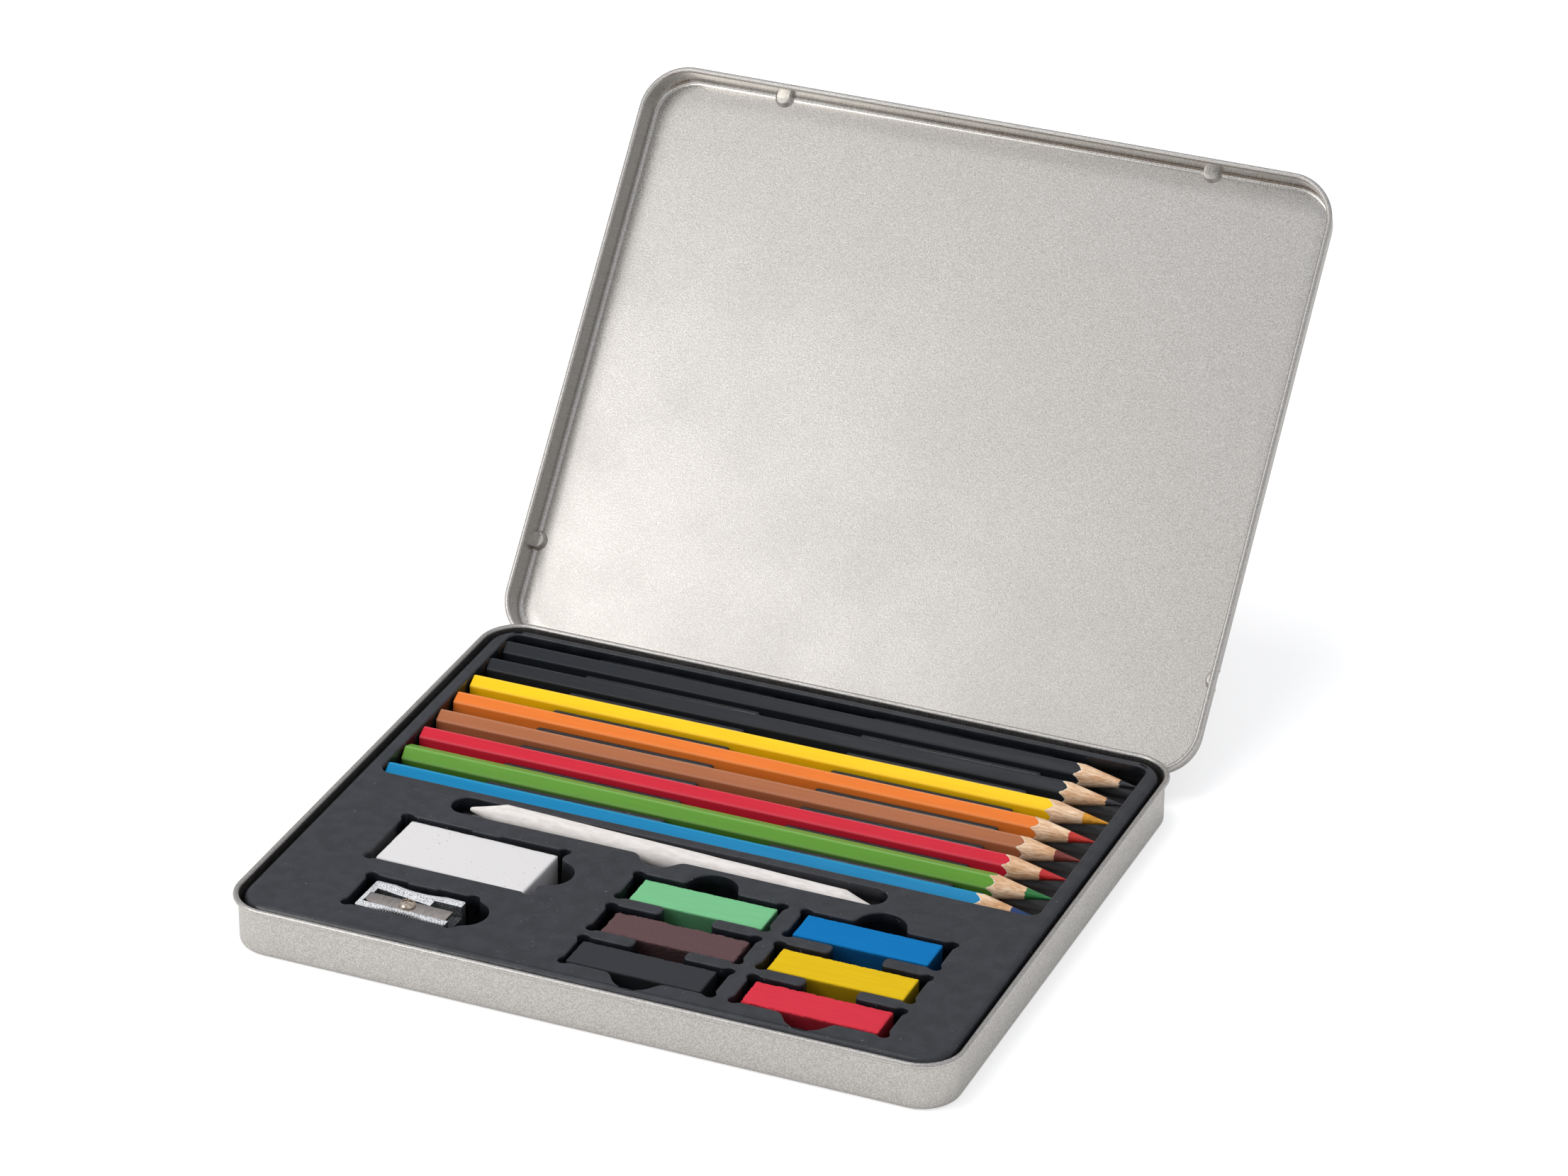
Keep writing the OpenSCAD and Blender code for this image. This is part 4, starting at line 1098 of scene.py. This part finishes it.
def worn_block(name, size, edge, crumb, seed, cell, finish):
    """A block on a fine grid, its edges rounded and nibbled away by crumb, lying on z = 0."""
    half = np.array(size) / 2
    block = bmesh.new()
    counts = [max(2, int(round(s / cell))) for s in size]
    # grid lines stand closer together towards the edges
    lines = []
    for h, count in zip(half, counts):
        t = np.arange(count + 1) / count
        lines.append(h * (0.25 * np.sin(math.pi * (t - 0.5)) + 0.75 * (2 * t - 1)))
    for axis in range(3):
        u, v = [k for k in range(3) if k != axis]
        for side in (-1, 1):
            spots = {}
            for a in range(counts[u] + 1):
                for b in range(counts[v] + 1):
                    p = [side * half[axis]] * 3
                    p[u], p[v] = lines[u][a], lines[v][b]
                    spots[a, b] = block.verts.new(p)
            for a in range(counts[u]):
                for b in range(counts[v]):
                    block.faces.new((spots[a, b], spots[a + 1, b], spots[a + 1, b + 1], spots[a, b + 1]))
    bmesh.ops.remove_doubles(block, verts=block.verts, dist=1e-4)
    bmesh.ops.recalc_face_normals(block, faces=block.faces)
    mesh = bpy.data.meshes.new(name)
    block.to_mesh(mesh)
    block.free()
    p = np.empty(len(mesh.vertices) * 3)
    mesh.vertices.foreach_get("co", p)
    p = p.reshape(-1, 3)
    inner = np.clip(p, -(half - edge), half - edge)
    out = p - inner
    direction = out / np.maximum(np.linalg.norm(out, axis=1, keepdims=True), 1e-9)
    rounded = inner + direction * edge
    close = np.sort(half - np.abs(p), axis=1)[:, 1]
    chance = np.random.default_rng(seed)
    waves = chance.normal(size=(40, 3)) * 1.2
    phase = chance.uniform(0, 6.28, 40)
    coarse = np.sin(p @ waves.T * 1.1 + phase).sum(1) / 6.3
    fine_waves = chance.normal(size=(40, 3)) * 5.0
    fine = np.sin(p @ fine_waves.T + phase).sum(1) / 6.3
    bite = crumb * np.clip(1 - close / (3.2 * crumb + 0.15), 0, 1) ** 1.4
    bite *= np.clip(0.35 + 0.5 * coarse + 0.55 * fine, 0, 1.6)
    rounded -= direction * bite[:, None]
    rounded[:, 2] += half[2]
    mesh.vertices.foreach_set("co", (rounded * MM).astype(np.float32).ravel())
    mesh.materials.append(finish)
    mesh.polygons.foreach_set("use_smooth", [True] * len(mesh.polygons))
    mesh.update()
    # flank: 0 on the top face, rising to 1 half a millimetre below it; the chalk reads it to paint its sides
    # in shade
    marked(mesh, "flank", np.clip((half[2] - p[:, 2]) / 0.5, 0, 1))
    made = bpy.data.objects.new(name, mesh)
    scene.collection.objects.link(made)
    return made


vinyl, tree, shader, dirt = grained(
    "white_vinyl", {"Roughness": 0.55, "Specular_IOR_Level": 0.35},
    Size=0.0011, Detail=2.0, Low=0.68, High=0.76, Dark=(213, 211, 211), Light=(170, 168, 164),
)
bump_on(tree, shader, grain_on(tree, Size=0.0005, Detail=4.0)["Mask"], 0.15, 0.00006)
eraser = worn_block("eraser_block", ERASER_SIZE, 0.35, 0.06, 3, 0.8, vinyl)
eraser.data.transform(Matrix.Translation(Vector(ERASER_AT) * MM) @ Matrix.Rotation(ERASER_TURN, 4, "Z"))
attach(eraser, "rubber")
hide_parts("eraser")


# The sharpener. A small cast block of light alloy with a waist and raised serrated rims, a steel
# blade laid over the tapered hole, and one domed cross-head screw that holds it.
SHARPENER_L, SHARPENER_W, SHARPENER_H = 24.0, 12.0, 9.6
WAIST_IN, WAIST_R = 0.9, 26.0
BLADE_Y, BLADE_W, BLADE_T = -1.45, 4.2, 0.6
SCREW_D, SCREW_H, SCREW_EDGE = 4.2, 1.5, 0.5
RIM_END, RIM_LOW, RIM_HIGH = 11.7, 0.1, 0.14
SHARPENER_AT, SHARPENER_TURN = (SHARPENER_X, SHARPENER_Y, REST_Z), math.radians(-1.3)
at_sharpener = Matrix.Translation(Vector(SHARPENER_AT) * MM) @ Matrix.Rotation(SHARPENER_TURN, 4, "Z")

alloy, tree, shader, cast = grained(
    "cast_alloy", {"Metallic": 0.55, "Roughness": 0.34},
    Size=0.0003, Low=0.34, High=0.46, Dark=(120, 122, 124), Light=(246, 247, 248),
)
bump_on(tree, shader, cast, 0.8, 0.00012)
# a darker, rougher copy of the alloy for the casting's faces below its top; its dark colour is painted shade
# for the lowered step and the sides
shaded_alloy, tree, shader, cast = grained(
    "shaded_alloy", {"Metallic": 0.7, "Roughness": 0.5},
    Size=0.0003, Detail=4.0, Low=0.4, High=0.75, Dark=(74, 76, 78), Light=(150, 152, 154),
)
bump_on(tree, shader, cast, 0.8, 0.00012)
blade_steel, tree, shader, ground = grained(
    "ground_steel", {"Metallic": 1.0, "Roughness": 0.34},
    Size=0.0006, Stretch=(1, 0.2, 1), Detail=5.0, Dark=(178, 168, 163), Light=(198, 189, 184),
)
bump_on(tree, shader, ground, 0.3, 0.00003)
screw_steel, tree, shader, tarnish = grained(
    "bright_steel", {"Metallic": 1.0, "Roughness": 0.14},
    Size=0.0009, Dark=(190, 172, 152), Light=(226, 214, 200),
)
tree.links.new(remapped(tree, tarnish, 0.1, 0.2), shader.inputs["Roughness"])


def waist_at(x):
    """How far the long side stands from the middle line of the sharpener at x."""
    return min(SHARPENER_W / 2, SHARPENER_W / 2 - WAIST_IN + WAIST_R - math.sqrt(WAIST_R**2 - x * x))


def upright(name, outline, low, high, finish):
    """A plate of that outline between two heights, in the sharpener's own place."""
    verts = [(x, y, z) for z in (low, high) for x, y in outline]
    return mesh_piece(name, verts, tube_faces(2, len(outline)), [finish], smooth=False)


def beveled(piece, width, segments, degrees):
    """Rounds the edges that are sharper than the angle."""
    soft = piece.modifiers.new("edges", "BEVEL")
    soft.width = width * MM
    soft.segments = segments
    soft.limit_method = "ANGLE"
    soft.angle_limit = math.radians(degrees)
    soft.use_clamp_overlap = True
    return applied(piece)


def set_in_place(piece, node=None):
    """Lays a finished part of the sharpener in its pocket, and on its body."""
    piece.data.transform(at_sharpener)
    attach(piece, "sharpener")
    if node:
        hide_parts(node)


casting = bpy.data.objects.new("sharpener_casting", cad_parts["sharpener_body"].data.copy())
scene.collection.objects.link(casting)
casting.data.materials.clear()
casting.data.materials.append(alloy)
casting.data.materials.append(shaded_alloy)
shell = bmesh.new()
shell.from_mesh(casting.data)
bmesh.ops.remove_doubles(shell, verts=shell.verts, dist=0.000004)
bmesh.ops.dissolve_limit(shell, angle_limit=math.radians(1.5), verts=shell.verts, edges=shell.edges)
top_z = (SHARPENER_AT[2] + SHARPENER_H - 0.1) * MM
# top faces take the bright alloy, every lower face the copy darkened as painted shade
for face in shell.faces:
    face.material_index = 0 if face.calc_center_median().z > top_z else 1
shell.to_mesh(casting.data)
shell.free()
beveled(casting, 0.12, 2, 40)
smoothed(casting, 35)
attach(casting, "sharpener")
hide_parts("sharpener_body")

# the raised rims: along the back, along the front, and a narrow one across the left end
spread = [-RIM_END + 2 * RIM_END * k / 40 for k in range(41)]
back_rim = [(x, waist_at(x) - 0.22) for x in spread] + [(x, waist_at(x) - 1.72) for x in spread[::-1]]
front_rim = [(x, -waist_at(x) + 0.22) for x in spread[::-1]] + [(x, -waist_at(x) + 1.0) for x in spread]
left_rim = [(-RIM_END, 4.3), (-RIM_END, -4.8), (-10.95, -4.8), (-10.95, 4.3)]
for name, outline in (("back", back_rim), ("front", front_rim), ("left", left_rim)):
    rim = upright(f"sharpener_rim_{name}", outline, SHARPENER_H - RIM_LOW, SHARPENER_H + RIM_HIGH, alloy)
    set_in_place(smoothed(beveled(rim, 0.06, 2, 40), 40))


def teeth_tree():
    """Geometry nodes that set teeth at even steps along a line, each turned to follow it."""
    tree, taken, given = new_tree(
        "teeth_along_a_rim", "GeometryNodeTree",
        (
            ("Line", "Geometry"), ("Pitch", "Float"), ("Size", "Vector"), ("Sink", "Vector"),
            ("Finish", "Material"),
        ),
        (("Teeth", "Geometry"),),
    )
    line = node_in(tree, "GeometryNodeMeshToCurve", {0: taken["Line"]}).outputs[0]
    even = node_in(
        tree, "GeometryNodeResampleCurve", {"Curve": line, "Length": taken["Pitch"]}, mode="LENGTH"
    ).outputs[0]
    tangent = node_in(tree, "GeometryNodeInputTangent").outputs[0]
    aligned = node_in(tree, "FunctionNodeAlignRotationToVector", {"Vector": tangent}, axis="X").outputs[0]
    feeds = {"Vertices": 4, "Radius Top": 0.25, "Radius Bottom": 0.7, "Depth": 1.0}
    tooth = node_in(tree, "GeometryNodeMeshCone", feeds).outputs["Mesh"]
    feeds = {"Geometry": tooth, "Rotation": (0, 0, math.radians(45))}
    squared = node_in(tree, "GeometryNodeTransform", feeds).outputs[0]
    feeds = {"Geometry": squared, "Scale": taken["Size"], "Translation": taken["Sink"]}
    sized = node_in(tree, "GeometryNodeTransform", feeds).outputs[0]
    feeds = {"Points": even, "Instance": sized, "Rotation": aligned}
    held = node_in(tree, "GeometryNodeInstanceOnPoints", feeds).outputs[0]
    return made_real(tree, held, taken["Finish"], given)


teeth = teeth_tree()
for name, side, inset, start, end, size, sink in (
    ("back_teeth", 1, 1.78, -10.4, 11.3, (0.42, 0.5, 0.26), 0.0),
    ("back_studs", 1, 1.1, -10.6, 11.2, (0.3, 0.3, 0.1), 0.16),
    ("front_teeth", -1, -0.05, -8.2, 11.3, (0.42, 0.5, 0.8), -0.28),
    ("front_studs", -1, 1.25, -10.6, 11.2, (0.34, 0.4, 0.16), 0.06),
):
    xs = [start + (end - start) * k / 60 for k in range(61)]
    mesh = bpy.data.meshes.new(f"sharpener_{name}")
    line = [(x * MM, side * (waist_at(x) - inset) * MM, SHARPENER_H * MM) for x in xs]
    mesh.from_pydata(line, [(k, k + 1) for k in range(60)], [])
    row = bpy.data.objects.new(f"sharpener_{name}", mesh)
    scene.collection.objects.link(row)
    grown(
        row, teeth, Pitch=0.74 * MM, Size=[c * MM for c in size], Sink=(0.0, 0.0, sink * MM), Finish=alloy
    )
    row.data.polygons.foreach_set("use_smooth", [False] * len(row.data.polygons))
    set_in_place(row)

half = SHARPENER_L / 2 - 0.7
back, front, cut_off = BLADE_Y + BLADE_W / 2, BLADE_Y - BLADE_W / 2, 2.5
outline = [(half, back), (-half + 0.5, back), (-half, back - 0.6)]
for k in range(9):
    a = math.radians(180 + 90 * k / 8)
    outline.append((-half + cut_off + cut_off * math.cos(a), front + cut_off + cut_off * math.sin(a)))
outline.append((half, front))
blade = upright("sharpener_blade_ground", outline, SHARPENER_H - BLADE_T, SHARPENER_H + 0.02, blade_steel)
set_in_place(smoothed(beveled(blade, 0.08, 2, 40), 35), "sharpener_blade")

dome_h, screw_r, turns = SCREW_H - SCREW_EDGE, SCREW_D / 2, 48
dome_r = (screw_r**2 + dome_h**2) / (2 * dome_h)
profile = [(screw_r - 0.25, 0.0), (screw_r - 0.04, 0.12), (screw_r, 0.32), (screw_r - 0.02, SCREW_EDGE)]
for k in range(1, 12):
    r = screw_r * (1 - k / 12)
    profile.append((r, SCREW_H - dome_r + math.sqrt(dome_r**2 - r * r)))
around = [2 * math.pi * j / turns for j in range(turns)]
verts = [(r * math.cos(a), r * math.sin(a), z) for r, z in profile for a in around]
head = mesh_piece("sharpener_screw_head", verts, tube_faces(len(profile), turns), [screw_steel])
slots = []
for turn in (20, 110):
    arm = box_shape("arm", (-1.25, -0.27, SCREW_H - 0.6), (1.25, 0.27, SCREW_H + 1.0))
    arm.data.transform(Matrix.Rotation(math.radians(turn), 4, "Z"))
    slots.append(arm)
combined(head, slots, "DIFFERENCE")
head.data.transform(Matrix.Translation((0, BLADE_Y * MM, SHARPENER_H * MM)))
set_in_place(smoothed(head, 40), "sharpener_screw")


# The pastels. Square sticks of pressed pigment, cut short, dry and chalky, with crumbled edges
# and faint scrape marks along them.
PASTELS = {
    "green": ((116, 186, 134), 0.10), "blue": ((0, 112, 178), 0.10), "brown": ((94, 70, 72), 0.34),
    "yellow": ((220, 182, 16), 0.14), "black": ((52, 54, 58), 0.16), "red": ((208, 50, 66), 0.28),
}
PASTEL_LIE = ((0.3, -0.25), (-0.4, 0.25), (0.25, -0.4), (-0.15, -0.1), (-0.65, 0.1), (-0.15, 0.1))
STICK = (35.0, 10.0, 10.0)
for i, (name, (tone, crumb)) in enumerate(PASTELS.items()):
    chalk, tree, shader = finish_of(f"chalk_{name}", Roughness=0.85, Specular_IOR_Level=0.2)
    scraped = grain_on(
        tree, Size=0.0008, Stretch=(0.08, 1, 1), Detail=6.0, Low=0.25, High=0.75,
        Dark=[c * 0.965 for c in tone], Light=tone,
    )["Color"]
    # painted shade: the sides and bottom of each stick are painted darker and deeper than the top, as if lit
    # from above
    flank = node_in(tree, "ShaderNodeAttribute", attribute_name="flank").outputs["Fac"]
    chalk_with_shaded_sides = mixed(tree, flank, scraped, srgb(*[max(0, c * 0.76 - 12) for c in tone]))
    tree.links.new(chalk_with_shaded_sides, shader.inputs["Base Color"])
    powder = grain_on(tree, Size=0.0006, Stretch=(0.5, 1, 1), Detail=5.0)["Mask"]
    bump_on(tree, shader, powder, 0.4 if name == "brown" else 0.12, 0.00015)
    stick = worn_block(f"{name}_stick", STICK, 0.3, crumb, 11 + i, 0.42, chalk)
    place = (COLUMNS[i % 2] + PASTEL_LIE[i][0] * 2.1, ROWS[i // 2] + PASTEL_LIE[i][1] * 1.15, REST_Z)
    stick.data.transform(Matrix.Translation(Vector(place) * MM))
    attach(stick, f"{name}_pastel")
    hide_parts(f"pastel_{name}")
